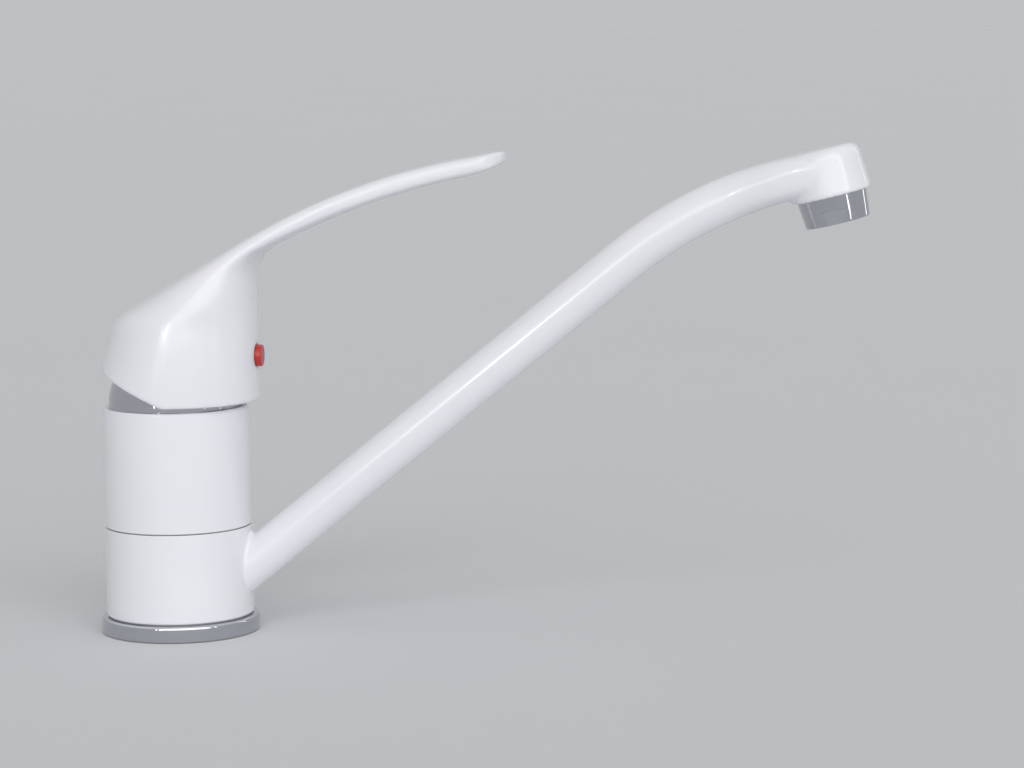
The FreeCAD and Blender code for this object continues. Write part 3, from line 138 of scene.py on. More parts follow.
# %% A finish
class Finish(Web):
    def __init__(self, name):
        self.material = bpy.data.materials.new(name)
        self.material.use_nodes = True
        super().__init__(self.material.node_tree)

    def place(self):
        """Where a point lies in the tap's own frame, in metres."""
        return self.node("TexCoord", result="Object")

    def height(self):
        return self.node("SeparateXYZ", sockets={0: self.place()}, result="Z")

    def noise(self, lumps, detail=2.0, stretch=(1, 1, 1)):
        """Clouds with about so many lumps to a metre. A stretch under 1 draws them out along that axis."""
        where = self.node("Mapping", sockets={"Vector": self.place(), "Scale": stretch})
        return self.node("TexNoise", sockets={"Vector": where, "Scale": lumps, "Detail": detail})

    def surface(self, bump=None, depth=0.0, **sockets):
        """The shader that the light meets. A name such as base_color becomes the socket Base Color."""
        named = {name.replace("_", " ").title(): given for name, given in sockets.items()}
        if "Ior" in named:
            named["IOR"] = named.pop("Ior")
        if bump:
            named["Normal"] = self.node("Bump", sockets={"Strength": 1.0, "Distance": depth, "Height": bump})
        shader = self.node("BsdfPrincipled", sockets=named)
        self.node("OutputMaterial", sockets={"Surface": shader})
        return self.material


print("a finish can ask for a place, a height, noise and a surface")

# %% [markdown]
# Colours
#
# A shader counts light, while a painter picks colours as they look on a screen, where the dark ones are
# spread wider. One function turns the second into the first, so every colour below can be read as it looks.

# %% Colours as they look on a screen
def colour(red, green, blue):
    """A colour given from 0 to 255, as the light it stands for."""
    def light(level):
        level = level / 255
        return level / 12.92 if level < 0.04 else ((level + 0.055) / 1.055) ** 2.4
    return light(red), light(green), light(blue), 1.0


def dimmed(tint, share):
    """The same colour with a share of its light."""
    return tuple(part * share for part in tint[:3]) + (1.0,)


print("a grey of 128 reflects", round(colour(128, 128, 128)[0], 2), "of the light")

# %% [markdown]
# White enamel
#
# Drum, sleeve, spout and handle are metal under baked white paint. An even white shader would look like
# plastic. Real paint levels with a faint orange peel two or three millimetres across, and years of wiping
# leave its gloss a little uneven. Both are far too small for geometry, so the peel is a bump of about a
# hundredth of a millimetre and the wiping is a cloudy change of roughness. The white is slightly cool, and
# a thin clear coat gives its wet shine.

# %% Enamel
PEEL_DEPTH = 0.012 * MM


def enamel():
    finish = Finish("white_enamel")
    peel = finish.noise(420, detail=1.0)
    cloud = finish.noise(28, detail=3.0)
    wiping = finish.noise(160, detail=4.0, stretch=(1, 1, 0.25))
    white = finish.mix(cloud, colour(236, 237, 243), colour(242, 242, 247))
    return finish.surface(base_color=white, roughness=0.14 + cloud * 0.06 + wiping * 0.08, coat_weight=0.3,
                          coat_roughness=0.05, ior=1.5, bump=peel, depth=PEEL_DEPTH)


FINISHES = {"enamel": enamel()}
print("enamel with a peel", PEEL_DEPTH / MM, "mm deep")

# %% [markdown]
# Chrome
#
# The foot, the dome and the aerator are polished and plated. Chrome has almost no colour of its own, so
# what makes it look real is what it mirrors, and a film of fine wiping marks that dulls it unevenly. Hard
# water leaves a matt, slightly yellow crust of small spots just above the deck. A painted map could say
# where the water stood, but a crust that fades out with the height of a point needs none.

# %% Chrome
SPLASH_TOP = 4 * MM


def chrome():
    finish = Finish("polished_chrome")
    film = finish.noise(90, detail=4.0)
    wiping = finish.noise(900, stretch=(1, 1, 0.08))
    low = 1 - finish.ramp(finish.height(), 0.0, SPLASH_TOP)
    crust = finish.ramp(finish.noise(700, detail=5.0), 0.55, 0.75) * low * 0.3
    tint = finish.mix(crust, colour(190, 193, 198), colour(168, 166, 160))
    return finish.surface(base_color=tint, metallic=1.0,
                          roughness=0.03 + film * 0.05 + wiping * 0.03 + crust * 0.5)


FINISHES["chrome"] = chrome()
print("chrome with water marks up to", SPLASH_TOP / MM, "mm")

# %% [markdown]
# Rubber and plastics
#
# These hardly show from above, but the tap can be turned over or taken apart. Each has the texture of its
# own making. Rubber is dull with a fine bloom, and moulded plastic is even in colour with a finely matt
# skin. All the plastics are moulded alike, so one function makes them and only tint and gloss differ.

# %% Rubber and plastics
def rubber():
    finish = Finish("black_rubber")
    bloom = finish.noise(150, detail=4.0)
    grain = finish.noise(3000)
    dull = finish.mix(bloom, colour(30, 30, 31), colour(48, 48, 49))
    return finish.surface(base_color=dull, roughness=0.62 + bloom * 0.2, bump=grain, depth=0.02 * MM)


def moulded(name, tint, roughness):
    """Plastic as it leaves the mould."""
    finish = Finish(name)
    skin = finish.noise(2500)
    flow = finish.noise(60)
    return finish.surface(base_color=finish.mix(flow, tint, dimmed(tint, 0.93)),
                          roughness=roughness + flow * 0.1, bump=skin, depth=0.008 * MM)


FINISHES["rubber"] = rubber()
FINISHES["glide_plastic"] = moulded("grey_acetal", colour(150, 150, 152), 0.42)
FINISHES["white_plastic"] = moulded("white_acetal", colour(222, 224, 224), 0.38)
FINISHES["cartridge_plastic"] = moulded("ivory_acetal", colour(218, 217, 208), 0.4)
FINISHES["red_plastic"] = moulded("red_plastic", colour(190, 52, 42), 0.2)
FINISHES["blue_plastic"] = moulded("blue_plastic", colour(36, 74, 186), 0.2)
print("finishes so far:", len(FINISHES))

# %% [markdown]
# Turned brass and steel
#
# The cartridge's nut, the lever's spindle and the clamp's nut are cut on a lathe and left bare. The tool
# leaves rings as far apart as it moves in one turn, a fraction of a millimetre. Cut into the mesh they
# would take millions of faces, so the Wave texture draws them as a bump of bands stacked upwards. The
# screen's drawn wire gets such fine bands too.

# %% Turned metal
BAND_LENGTH = 0.314


def turned(name, tint, roughness, pitch):
    """Metal cut on a lathe. At a scale of 1 the Wave texture's bands are BAND_LENGTH apart."""
    finish = Finish(name)
    rings = finish.node("TexWave", {"wave_type": "BANDS", "bands_direction": "Z"},
                        {"Vector": finish.place(), "Scale": BAND_LENGTH / pitch, "Distortion": 0.4},
                        result="Fac")
    stain = finish.noise(120, detail=3.0)
    return finish.surface(base_color=finish.mix(stain, tint, dimmed(tint, 0.8)), metallic=1.0,
                          roughness=roughness + stain * 0.15, bump=rings, depth=0.01 * MM)


FINISHES["brass"] = turned("turned_brass", colour(214, 180, 108), 0.26, pitch=0.2 * MM)
FINISHES["steel"] = turned("turned_steel", colour(190, 191, 193), 0.24, pitch=0.15 * MM)
FINISHES["steel_mesh"] = turned("steel_wire", colour(196, 197, 198), 0.22, pitch=0.2 * MM)
print("finishes so far:", len(FINISHES))

# %% [markdown]
# Zinc plate and ceramic
#
# Stud and plate are steel dipped in zinc, which is cloudy, slightly straw coloured in places and covered
# with fine spangles. So a coarse noise makes its clouds and a fine one its spangles. The two discs of the
# valve are lapped ceramic, white and almost without grain, and one very fine noise is enough for them.

# %% Zinc plate and ceramic
def plated():
    finish = Finish("zinc_plate")
    cloud = finish.noise(75, detail=4.0)
    spangle = finish.noise(1400)
    return finish.surface(base_color=finish.mix(cloud, colour(178, 182, 186), colour(206, 196, 164)),
                          metallic=1.0, roughness=0.3 + cloud * 0.18 + spangle * 0.08,
                          bump=spangle, depth=0.01 * MM)


def ceramic():
    finish = Finish("lapped_ceramic")
    grain = finish.noise(4000)
    return finish.surface(base_color=finish.mix(grain, colour(232, 230, 222), colour(240, 239, 233)),
                          roughness=0.16 + grain * 0.08)


FINISHES["zinc_steel"] = plated()
FINISHES["ceramic"] = ceramic()
print("finishes in all:", len(FINISHES))

# %% [markdown]
# Every solid gets its finish
#
# The record that comes with the frame says which finish belongs to which piece, and which pieces move
# together as one body. Finishes could be handed out piece by piece, but reading that list keeps the looks
# in step with the construction.

# %% Coat the solids
BODY_OF = {node: body for body, nodes in frame["record"]["behaviour"]["bodies"].items() for node in nodes}
SLOT_OF = {part["node"]: part["material_slot"] for part in frame["record"]["subparts"]}
for name, slot in SLOT_OF.items():
    NODES[name].data.materials.clear()
    NODES[name].data.materials.append(FINISHES[slot])
print("solids coated:", len(SLOT_OF))

# %% [markdown]
# How a modelled piece joins the frame
#
# A piece made here takes the place of the solid it dresses. It keeps that solid's finish and moves with
# the same body, so one short function settles all three and no piece can be left behind when the tap moves.

# %% Put a piece in the place of its solids
def dress(name, mesh, *nodes):
    """Make an object of a mesh, which stands for the named solids from then on."""
    piece = bpy.data.objects.new(name, mesh)
    bpy.context.scene.collection.objects.link(piece)
    mesh.materials.clear()
    mesh.materials.append(FINISHES[SLOT_OF[nodes[0]]])
    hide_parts(*nodes)
    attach(piece, BODY_OF[nodes[0]])
    print(name, "has", len(mesh.polygons), "faces")
    return piece


print("pieces that may be dressed:", len(BODY_OF))

# %% [markdown]
# From loose triangles to a smooth skin
#
# A solid arrives as loose triangles, each with corners of its own, and shades in facets. Once the corners
# are welded, neighbours share them, and the skin can shade smoothly and break only over real edges. A
# modifier could do that too, but a mesh that knows its own sharp edges looks the same everywhere.

# %% Weld and smooth
WELD = 0.001 * MM


def as_mesh(name, shape):
    """Turn a bmesh into a mesh and let the bmesh go."""
    mesh = bpy.data.meshes.new(name)
    shape.to_mesh(mesh)
    shape.free()
    return mesh


def copy_of(*nodes):
    """A welded copy of the loose triangles of one solid or more."""
    shape = bmesh.new()
    for node in nodes:
        shape.from_mesh(NODES[node].data)
    bmesh.ops.remove_doubles(shape, verts=shape.verts, dist=WELD)
    return shape


def close_holes(shape):
    bmesh.ops.holes_fill(shape, edges=[edge for edge in shape.edges if edge.is_boundary], sides=0)


def smooth_mesh(name, shape, sharp=40):
    """A mesh that shades smoothly, except over edges that bend by more than so many degrees."""
    bmesh.ops.remove_doubles(shape, verts=shape.verts, dist=WELD)
    bmesh.ops.recalc_face_normals(shape, faces=shape.faces)
    mesh = as_mesh(name, shape)
    mesh.shade_smooth()
    mesh.set_sharp_from_angle(angle=math.radians(sharp))
    return mesh


print("welds reach", WELD / MM, "mm")

# %% [markdown]
# Modifiers that run once
#
# Remeshing and smoothing are modifiers. Left live on a piece, they would run again with every look at it.
# So a passing object holds the mesh while its modifiers run, the result is kept as a plain mesh, and the
# passing object goes away.

# %% Run modifiers once
def holder_of(name, mesh):
    """A passing object that holds a mesh while its modifiers run."""
    holder = bpy.data.objects.new(name + "_holder", mesh)
    bpy.context.scene.collection.objects.link(holder)
    return holder


def result_of(holder, name):
    """What the modifiers of a passing object make, as a plain mesh."""
    bpy.context.view_layer.update()
    ready = holder.evaluated_get(bpy.context.evaluated_depsgraph_get())
    mesh = bpy.data.meshes.new_from_object(ready)
    bpy.data.objects.remove(holder)
    mesh.name = name
    return mesh


def settled(mesh, *steps):
    """Run modifiers, each a type and its settings, once on a mesh and keep the result."""
    holder = holder_of(mesh.name, mesh)
    for kind, settings in steps:
        modifier = holder.modifiers.new(kind.lower(), kind)
        for name, setting in settings.items():
            setattr(modifier, name, setting)
    return result_of(holder, mesh.name)


print("passing objects ready")

# %% [markdown]
# The castings under their paint
#
# Handle and spout are ground smooth and painted, so their forms run into each other without a crease and
# the paint rounds every edge. A solid built from sections shows its faces and creases instead. Bevels need
# clean edges, and subdivision would shrink the big curves. So the copy is remade as an even net of small
# squares and relaxed a few times: big curves keep their place while creases and edges shorter than a
# millimetre melt, as they do under files and paint.
#
# The lever of the real handle also runs out thinner than its solid. Before the skin is remade, its
# underside is lifted towards the top over the last centimetre, a little at first and most at the tip.

# %% Handle
def cast_skin(name, shape, square, rounds):
    """Rebuild a skin from squares of one size and relax it for some rounds."""
    skin = settled(as_mesh(name, shape), ("REMESH", {"mode": "VOXEL", "voxel_size": square}),
                   ("SMOOTH", {"factor": 0.5, "iterations": rounds}))
    skin.shade_smooth()
    return skin


TIP_START, TIP_THINNING = 104 * MM, 0.42
handle = copy_of("handle")
tip_end = max(point.co.x for point in handle.verts)
tip_top = max(point.co.z for point in handle.verts)
for point in handle.verts:
    share = max(0.0, (point.co.x - TIP_START) / (tip_end - TIP_START))
    point.co.z += (tip_top - point.co.z) * TIP_THINNING * share ** 2
dress("handle_casting", cast_skin("handle_casting", handle, square=0.52 * MM, rounds=9), "handle")
print("lever thinned over its last", round((tip_end - TIP_START) / MM, 1), "mm")

# %% [markdown]
# Rounded outlines
#
# A turned piece starts as an outline of a few corners. On the real piece no corner is quite sharp, because
# tool and polishing wheel ease it. A bevel could ease it afterwards, but it would have to find the right
# edges among all the others. So each corner is eased in the outline itself, by a small curve.

# %% Rounded outlines
def scaled(corners):
    """Corners given in millimetres, in metres."""
    return [tuple(part * MM for part in corner) for corner in corners]


def rounded(corners, steps=6):
    """Points of an outline whose corners (radius, height, rounding) are each eased by a small curve."""
    points = []
    for index, (radius, height, size) in enumerate(corners):
        here = Vector((radius, height))
        back = Vector(corners[index - 1][:2]) - here
        ahead = Vector(corners[(index + 1) % len(corners)][:2]) - here
        reach = size / math.tan(back.angle(ahead) / 2) if size else 0
        start, end = here + back.normalized() * reach, here + ahead.normalized() * reach
        for share in [step / steps for step in range(steps + 1)] if size else [0]:
            points.append(start.lerp(here, share).lerp(here.lerp(end, share), share))
    return points


print("a rounded corner has", len(rounded([(1, 0, 0.1), (2, 0, 0), (2, 1, 0)])) - 2, "points")

# %% [markdown]
# A lathe
#
# Many small parts of a tap are turned: a tool follows an outline while the metal spins. Blender's Screw
# modifier spins an outline too. A few lines of mesh code are as short, close the form without a seam, and
# also serve a nut, whose outline changes on its way round.

# %% Spin an outline
LATHE_STEPS = 192


def swung(outline, around):
    """An outline of points (radius, height), swung round the upright axis to an angle."""
    return [(radius * math.cos(around), radius * math.sin(around), height) for radius, height in outline]


def joined(rows):
    """Lay faces between rows of points that follow each other all the way round."""
    shape = bmesh.new()
    rows = [[shape.verts.new(point) for point in row] for row in rows]
    for row, ahead in zip(rows, rows[1:] + rows[:1]):
        for index, point in enumerate(row):
            after = (index + 1) % len(row)
            shape.faces.new((point, ahead[index], ahead[after], row[after]))
    return shape


def lathe(outline, steps=LATHE_STEPS):
    """Spin a closed outline, in metres, about the upright axis."""
    return joined([swung(outline, math.tau * step / steps) for step in range(steps)])


print("lathe steps:", LATHE_STEPS)

# %% [markdown]
# The spout
#
# Tube and head are brazed to each other and to the stub on the swivel sleeve before they are painted, and no
# joint shows through the paint. Dressed one by one, they would show a dark line at each joint. So they share
# one skin, which also reaches a few millimetres down over the stub: a short ring of the tube's own radius
# is added to the copy before it is remade.

# %% Tube and head
TUBE_SLOPE, TUBE_WALL, OVERLAP = math.radians(38.8), 1.4, 3.0
END_SLICE = 0.1 * MM
along = Vector((math.cos(TUBE_SLOPE), 0, math.sin(TUBE_SLOPE)))
square_on = Vector((-math.sin(TUBE_SLOPE), 0, math.cos(TUBE_SLOPE)))
tube_points = [point.co for point in NODES["spout_tube"].data.vertices]
tube_start = min(point.dot(along) for point in tube_points)
levels = [point.dot(square_on) for point in tube_points if point.dot(along) < tube_start + END_SLICE]
TUBE_SIDE = (max(levels) - min(levels)) / 2 / MM
collar = lathe([Vector(corner) * MM for corner in (
    (TUBE_SIDE - TUBE_WALL, -OVERLAP), (TUBE_SIDE, -OVERLAP), (TUBE_SIDE, OVERLAP),
    (TUBE_SIDE - TUBE_WALL, OVERLAP))])
middle = along * tube_start + square_on * (max(levels) + min(levels)) / 2
bmesh.ops.transform(collar, verts=collar.verts, matrix=Matrix.Translation(middle)
                    @ Matrix.Rotation(math.pi / 2 - TUBE_SLOPE, 4, "Y"))
spout = copy_of("spout_tube", "spout_head")
spout.from_mesh(as_mesh("collar", collar))
dress("spout_casting", cast_skin("spout_casting", spout, square=0.58 * MM, rounds=8),
      "spout_tube", "spout_head")
print("tube", round(2 * TUBE_SIDE, 1), "mm across")

# %% [markdown]
# Sleeve, drum and the small round pieces
#
# The solids of these pieces are already right, and turning them again would gain nothing. Only their facets
# would show in the gloss, so each is welded into one skin that shades smoothly. The direction that each
# point faces is weighed by the size of the faces round it, or a tall straight wall would look bent towards
# its narrow rounded rim.

# %% Smooth round pieces
SMOOTHED = {"sleeve_skin": "spout_sleeve", "drum_skin": "body_casting",
            "seam_ring": "upper_glide_ring", "brass_nut": "cartridge_nut", "lever_spindle": "spindle",
            "foot_rubber": "base_gasket"}
WEIGHED = ("WEIGHTED_NORMAL", {"mode": "FACE_AREA", "weight": 100, "keep_sharp": True})
for name, node in SMOOTHED.items():
    dress(name, settled(smooth_mesh(name, copy_of(node), sharp=32), WEIGHED), node)
print("round pieces smoothed:", len(SMOOTHED))

# %% [markdown]
# The foot ring
#
# A chromed ring covers the joint between tap and deck. Its top edge is generously rounded, which gives the
# bright line that runs round it. A mirror finish shows every facet, so the solid is not enough. The ring is
# turned here from a few corners. Those in view are rounded as a polisher leaves them, and the ring's width
# and top are measured from the solid.

# %% Foot ring
ring_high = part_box("base_ring")[1]
RING_OUT, RING_TOP = ring_high.x / MM, ring_high.z / MM
RING_BORE, SKIRT_INSIDE, GASKET_TOP, RING_CLEAR = 19.65, 25.5, 1.0, 0.2
RING_SHOULDER, RING_EDGE, BORE_EDGE = 1.2, 0.25, 0.1
foot = rounded(scaled([
    (RING_BORE, GASKET_TOP, 0), (SKIRT_INSIDE, GASKET_TOP, 0), (SKIRT_INSIDE, RING_CLEAR, 0),
    (RING_OUT, RING_CLEAR, RING_EDGE), (RING_OUT, RING_TOP, RING_SHOULDER),
    (RING_BORE, RING_TOP, BORE_EDGE)]), steps=12)
dress("foot_ring", smooth_mesh("foot_ring", lathe(foot)), "base_ring")
print("foot ring", round(2 * RING_OUT, 1), "mm across")

# %% [markdown]
# The dome
#
# Under the handle sits a chromed dome, a slice of a ball whose middle is the lever's pivot, so the handle
# can tilt over it without touching. Many corners could follow that curve, but a ball has a formula, the
# radius at each height, which is shorter and rounder.

# %% Dome
PIVOT_HEIGHT, DOME_WALL = 78.0, 1.2
dome_low, dome_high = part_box("dome_cap")
DOME_OUT, DOME_TOP = dome_high.x / MM, dome_high.z / MM - PIVOT_HEIGHT
DOME_FOOT = dome_low.z / MM - PIVOT_HEIGHT


def sphere_line(radius, start, finish, steps=40):
    """Points on a ball round the lever's pivot, from one height to another."""
    heights = [start + (finish - start) * step / steps for step in range(steps + 1)]
    return [Vector((math.sqrt(radius ** 2 - height ** 2), height + PIVOT_HEIGHT)) * MM for height in heights]


outside = sphere_line(DOME_OUT, DOME_FOOT, DOME_TOP)
inside = sphere_line(DOME_OUT - DOME_WALL, DOME_TOP, DOME_FOOT)
dress("dome", smooth_mesh("dome", lathe(outside + inside)), "dome_cap")
print("dome", round(2 * DOME_OUT, 1), "mm across")

# %% [markdown]
# The aerator's place
#
# The aerator screws into the head, and the head's outlet leans. Turned forms are simplest upright, so the
# aerator's pieces are made upright about their own axis and then leaned over as a whole. One matrix does
# that for all of them. Its lean is given, and its place is measured from the housing's solid.

# %% The outlet's own frame
HEAD_TILT = math.radians(13.3)
LEAN = Matrix.Rotation(-HEAD_TILT, 4, "Y")


def outlet_box(node):
    """A node's box measured along and across the outlet's axis."""
    points = [LEAN.inverted() @ point.co for point in NODES[node].data.vertices]
    return [Vector(limit(point[axis] for point in points) for axis in range(3)) for limit in (min, max)]


housing_low, housing_high = outlet_box("aerator_housing")
OUTLET = LEAN @ Matrix.Translation(((housing_low.x + housing_high.x) / 2, 0, housing_low.z))
HOUSING_TALL = (housing_high.z - housing_low.z) / MM
print("aerator", round(HOUSING_TALL, 2), "mm tall, leaning", round(math.degrees(HEAD_TILT), 1), "degrees")

# %% [markdown]
# The aerator's housing
#
# The housing tapers a little, its mouth has a rounded lip, and a spanner flat on each side lets it be
# unscrewed. The flats could be cut by a boolean, which leaves long thin faces that spoil a mirror. Instead
# the points of the round wall that lie outside a plane are pressed in to it, and the wall just above them
# makes the step.

# %% Housing with spanner flats
THREAD_SIDE, SKIRT_SIDE, MOUTH_SIDE, LIP_SIDE, BORE_SIDE = 12.0, 11.6, 10.7, 8.6, 9.6
SKIRT_TALL, LIP_TALL, THREAD_STEP = 8.9, 1.0, 0.4
FLAT_SIDE, FLAT_TALL, FLAT_EDGE = 10.2, 4.5, 0.15
LIP_EDGE, MOUTH_EDGE, THREAD_EDGE = 0.25, 0.6, 0.2
flat_wall = MOUTH_SIDE + (SKIRT_SIDE - MOUTH_SIDE) * FLAT_TALL / SKIRT_TALL
housing = lathe(rounded(scaled([
    (LIP_SIDE, 0, LIP_EDGE), (MOUTH_SIDE, 0, MOUTH_EDGE), (flat_wall, FLAT_TALL, 0),
    (flat_wall, FLAT_TALL + FLAT_EDGE, 0), (SKIRT_SIDE, SKIRT_TALL, 0),
    (THREAD_SIDE, SKIRT_TALL + THREAD_STEP, 0), (THREAD_SIDE, HOUSING_TALL, THREAD_EDGE),
    (BORE_SIDE, HOUSING_TALL, THREAD_EDGE), (BORE_SIDE, LIP_TALL, 0), (LIP_SIDE, LIP_TALL, LIP_EDGE)])))
for point in housing.verts:
    if abs(point.co.y) > FLAT_SIDE * MM and point.co.z < (FLAT_TALL + FLAT_EDGE / 2) * MM:
        point.co.y = math.copysign(FLAT_SIDE * MM, point.co.y)
bmesh.ops.transform(housing, matrix=OUTLET, verts=housing.verts)
dress("aerator_shell", smooth_mesh("aerator_shell", housing, sharp=28), "aerator_housing")
print("spanner flats", 2 * FLAT_SIDE, "mm apart")

# %% [markdown]
# Shapes that follow a rule
#
# A woven screen and a thread repeat by rule, which is what Geometry Nodes is for. A tree of such nodes is
# wrapped here as the shader webs were. Its sizes are named inputs, so a finer weave or a coarser thread is
# one number away. It runs once and leaves a plain mesh, because the export drops instances.

# %% A tree of shape nodes
class Shaper:
    def __init__(self, name, **sizes):
        """Start a tree with one input for each named size."""
        self.tree = bpy.data.node_groups.new(name, "GeometryNodeTree")
        self.tree.interface.new_socket("Geometry", in_out="OUTPUT", socket_type="NodeSocketGeometry")
        self.sizes = {}
        for label, size in sizes.items():
            kind = "NodeSocketInt" if isinstance(size, int) else "NodeSocketFloat"
            added = self.tree.interface.new_socket(label, in_out="INPUT", socket_type=kind)
            self.sizes[added.identifier] = size
        self.inputs = self.tree.nodes.new("NodeGroupInput")

    def node(self, kind, settings=None, sockets=None, result=0):
        made = self.tree.nodes.new(kind)
        for name, setting in (settings or {}).items():
            setattr(made, name, setting)
        for name, given in (sockets or {}).items():
            if isinstance(given, bpy.types.NodeSocket):
                self.tree.links.new(given, made.inputs[name])
            else:
                made.inputs[name].default_value = given
        return made.outputs[result]

    def size(self, label):
        return self.inputs.outputs[label]

    def maths(self, operation, first, second=0.0):
        return self.node("ShaderNodeMath", {"operation": operation}, {0: first, 1: second})

    def place(self):
        """The three numbers of each point's place, each a socket."""
        spot = self.node("GeometryNodeInputPosition")
        return self.node("ShaderNodeSeparateXYZ", sockets={0: spot}).node.outputs

    def moved(self, geometry, x, y, z):
        """Put every point of a geometry in a new place."""
        spot = self.node("ShaderNodeCombineXYZ", sockets={"X": x, "Y": y, "Z": z})
        return self.node("GeometryNodeSetPosition", sockets={"Geometry": geometry, "Position": spot})

    def mesh(self, name, geometry, material):
        """Run the tree once and keep what it makes as a plain mesh."""
        real = self.node("GeometryNodeRealizeInstances", sockets={"Geometry": geometry})
        coated = self.node("GeometryNodeSetMaterial", sockets={"Geometry": real, "Material": material})
        self.tree.links.new(coated, self.tree.nodes.new("NodeGroupOutput").inputs[0])
        holder = holder_of(name, bpy.data.meshes.new(name + "_holder"))
        modifier = holder.modifiers.new(name, "NODES")
        modifier.node_group = self.tree
        for identifier, size in self.sizes.items():
            modifier[identifier] = size
        return result_of(holder, name)


print("trees of shape nodes ready")

# %% [markdown]
# The woven screen
#
# The water leaves through a disc of woven steel wire. Every wire dips under and over its neighbours, which a
# rule describes: a cosine along the wire, with alternate wires half a wave apart. Bending wires one by one
# would take far more code. Here a grid of points gets its wave, the rungs between the wires are deleted,
# and each line that remains is given a round section.

# %% Parallel waving wires
WIRE_PITCH, WIRE_RADIUS, WAVE_STEPS, WIRE_SIDES = 0.8, 0.14, 4, 6
SCREEN_SIDE = 9.0
HALF_WIRES = int(SCREEN_SIDE / WIRE_PITCH)


def waved_grid(weave):
    """A grid of points, cut off at a round opening, that rises and falls from wire to wire."""
    grid = weave.node("GeometryNodeMeshGrid", sockets={
        "Size X": weave.size("Span"), "Size Y": weave.size("Span"),
        "Vertices X": weave.size("Samples"), "Vertices Y": weave.size("Wires")})
    along, across, _ = weave.place()
    chord = weave.maths("SQRT", weave.maths("SUBTRACT", weave.maths("MULTIPLY", weave.size("Side"),
                        weave.size("Side")), weave.maths("MULTIPLY", across, across)))
    turns = weave.maths("DIVIDE", weave.maths("ADD", along, across), weave.size("Pitch"))
    angle = weave.maths("MULTIPLY", weave.maths("ADD", turns, weave.size("Phase")), math.pi)
    wave = weave.maths("MULTIPLY", weave.maths("COSINE", angle), weave.size("Wire"))
    kept = weave.maths("MAXIMUM", weave.maths("MINIMUM", along, chord), weave.maths("MULTIPLY", chord, -1.0))
    return weave.moved(grid, kept, across, wave)


def without_rungs(weave, geometry):
    """Only the grid's lines along the wires: an edge that reaches across to the next wire goes."""
    ends = weave.node("GeometryNodeInputMeshEdgeVertices").node
    first, second = (weave.node("ShaderNodeSeparateXYZ", sockets={0: ends.outputs["Position %d" % end]},
                                result="Y") for end in (1, 2))
    rung = weave.maths("GREATER_THAN", weave.maths("ABSOLUTE", weave.maths("SUBTRACT", first, second)),
                       weave.maths("MULTIPLY", weave.size("Pitch"), 0.5))
    return weave.node("GeometryNodeDeleteGeometry", {"domain": "EDGE", "mode": "EDGE_FACE"},
                      {"Geometry": geometry, "Selection": rung})


def wires(name, half_wave):
    """One set of wires as a mesh. Two sets half a wave apart interlock."""
    weave = Shaper(name, Span=2 * HALF_WIRES * WIRE_PITCH * MM, Pitch=WIRE_PITCH * MM,
                   Wire=WIRE_RADIUS * MM, Side=SCREEN_SIDE * MM, Wires=2 * HALF_WIRES + 1,
                   Samples=2 * WAVE_STEPS * HALF_WIRES + 1, Phase=half_wave)
    lines = without_rungs(weave, waved_grid(weave))
    curves = weave.node("GeometryNodeMeshToCurve", sockets={"Mesh": lines})
    section = weave.node("GeometryNodeCurvePrimitiveCircle", sockets={
        "Resolution": WIRE_SIDES, "Radius": weave.size("Wire")})
    tubes = weave.node("GeometryNodeCurveToMesh", sockets={
        "Curve": curves, "Profile Curve": section, "Fill Caps": True})
    return weave.mesh(name, tubes, FINISHES["steel_mesh"])


print("wires in a set:", 2 * HALF_WIRES + 1)

# %% [markdown]
# Two sets of wires in a rim
#
# In the real screen both directions are the same wire, and a rim of sheet steel holds the cut ends. One tree
# could weave both directions, but it is simpler to make one set twice, half a wave apart, and to turn
# the second by a quarter. The rim comes from the lathe like the other round pieces.

# %% Weave two sets in a rim
RIM_SIDE, RIM_LAP, RIM_HALF, RIM_EDGE = 9.5, 0.4, 0.25, 0.1
screen_low, screen_high = outlet_box("aerator_lower_screen")
SCREEN_LEVEL = Matrix.Translation((0, 0, (screen_low.z + screen_high.z) / 2 - housing_low.z))
QUARTER = Matrix.Rotation(math.pi / 2, 4, "Z")
woven = bmesh.new()
for mesh, turn in ((wires("wires_along", 0.0), Matrix.Identity(4)), (wires("wires_across", 1.0), QUARTER)):
    start = len(woven.verts)
    woven.from_mesh(mesh)
    woven.verts.ensure_lookup_table()
    bmesh.ops.transform(woven, matrix=turn, verts=woven.verts[start:])
rim = rounded(scaled([
    (SCREEN_SIDE - RIM_LAP, -RIM_HALF, RIM_EDGE), (RIM_SIDE, -RIM_HALF, RIM_EDGE),
    (RIM_SIDE, RIM_HALF, RIM_EDGE), (SCREEN_SIDE - RIM_LAP, RIM_HALF, RIM_EDGE)]), steps=3)
woven.from_mesh(smooth_mesh("screen_rim", lathe(rim, steps=96)))
bmesh.ops.transform(woven, matrix=OUTLET @ SCREEN_LEVEL, verts=woven.verts)
dress("woven_screen", smooth_mesh("woven_screen", woven, sharp=60), "aerator_lower_screen")
print("screen", 2 * RIM_SIDE, "mm across its rim")

# %% [markdown]
# The threaded stud
#
# The tap is held by a stud with a metric thread. Sweeping a small triangle along a helix makes a thread
# too, but its ends and inner edges have to be mended. A thread is also a plain rule: the radius at a point
# depends only on its height less its share of a turn, counted in pitches. So a tall grid is rolled into a
# tube and every point is moved out or in by that rule, which gives the flanks and one unbroken groove.

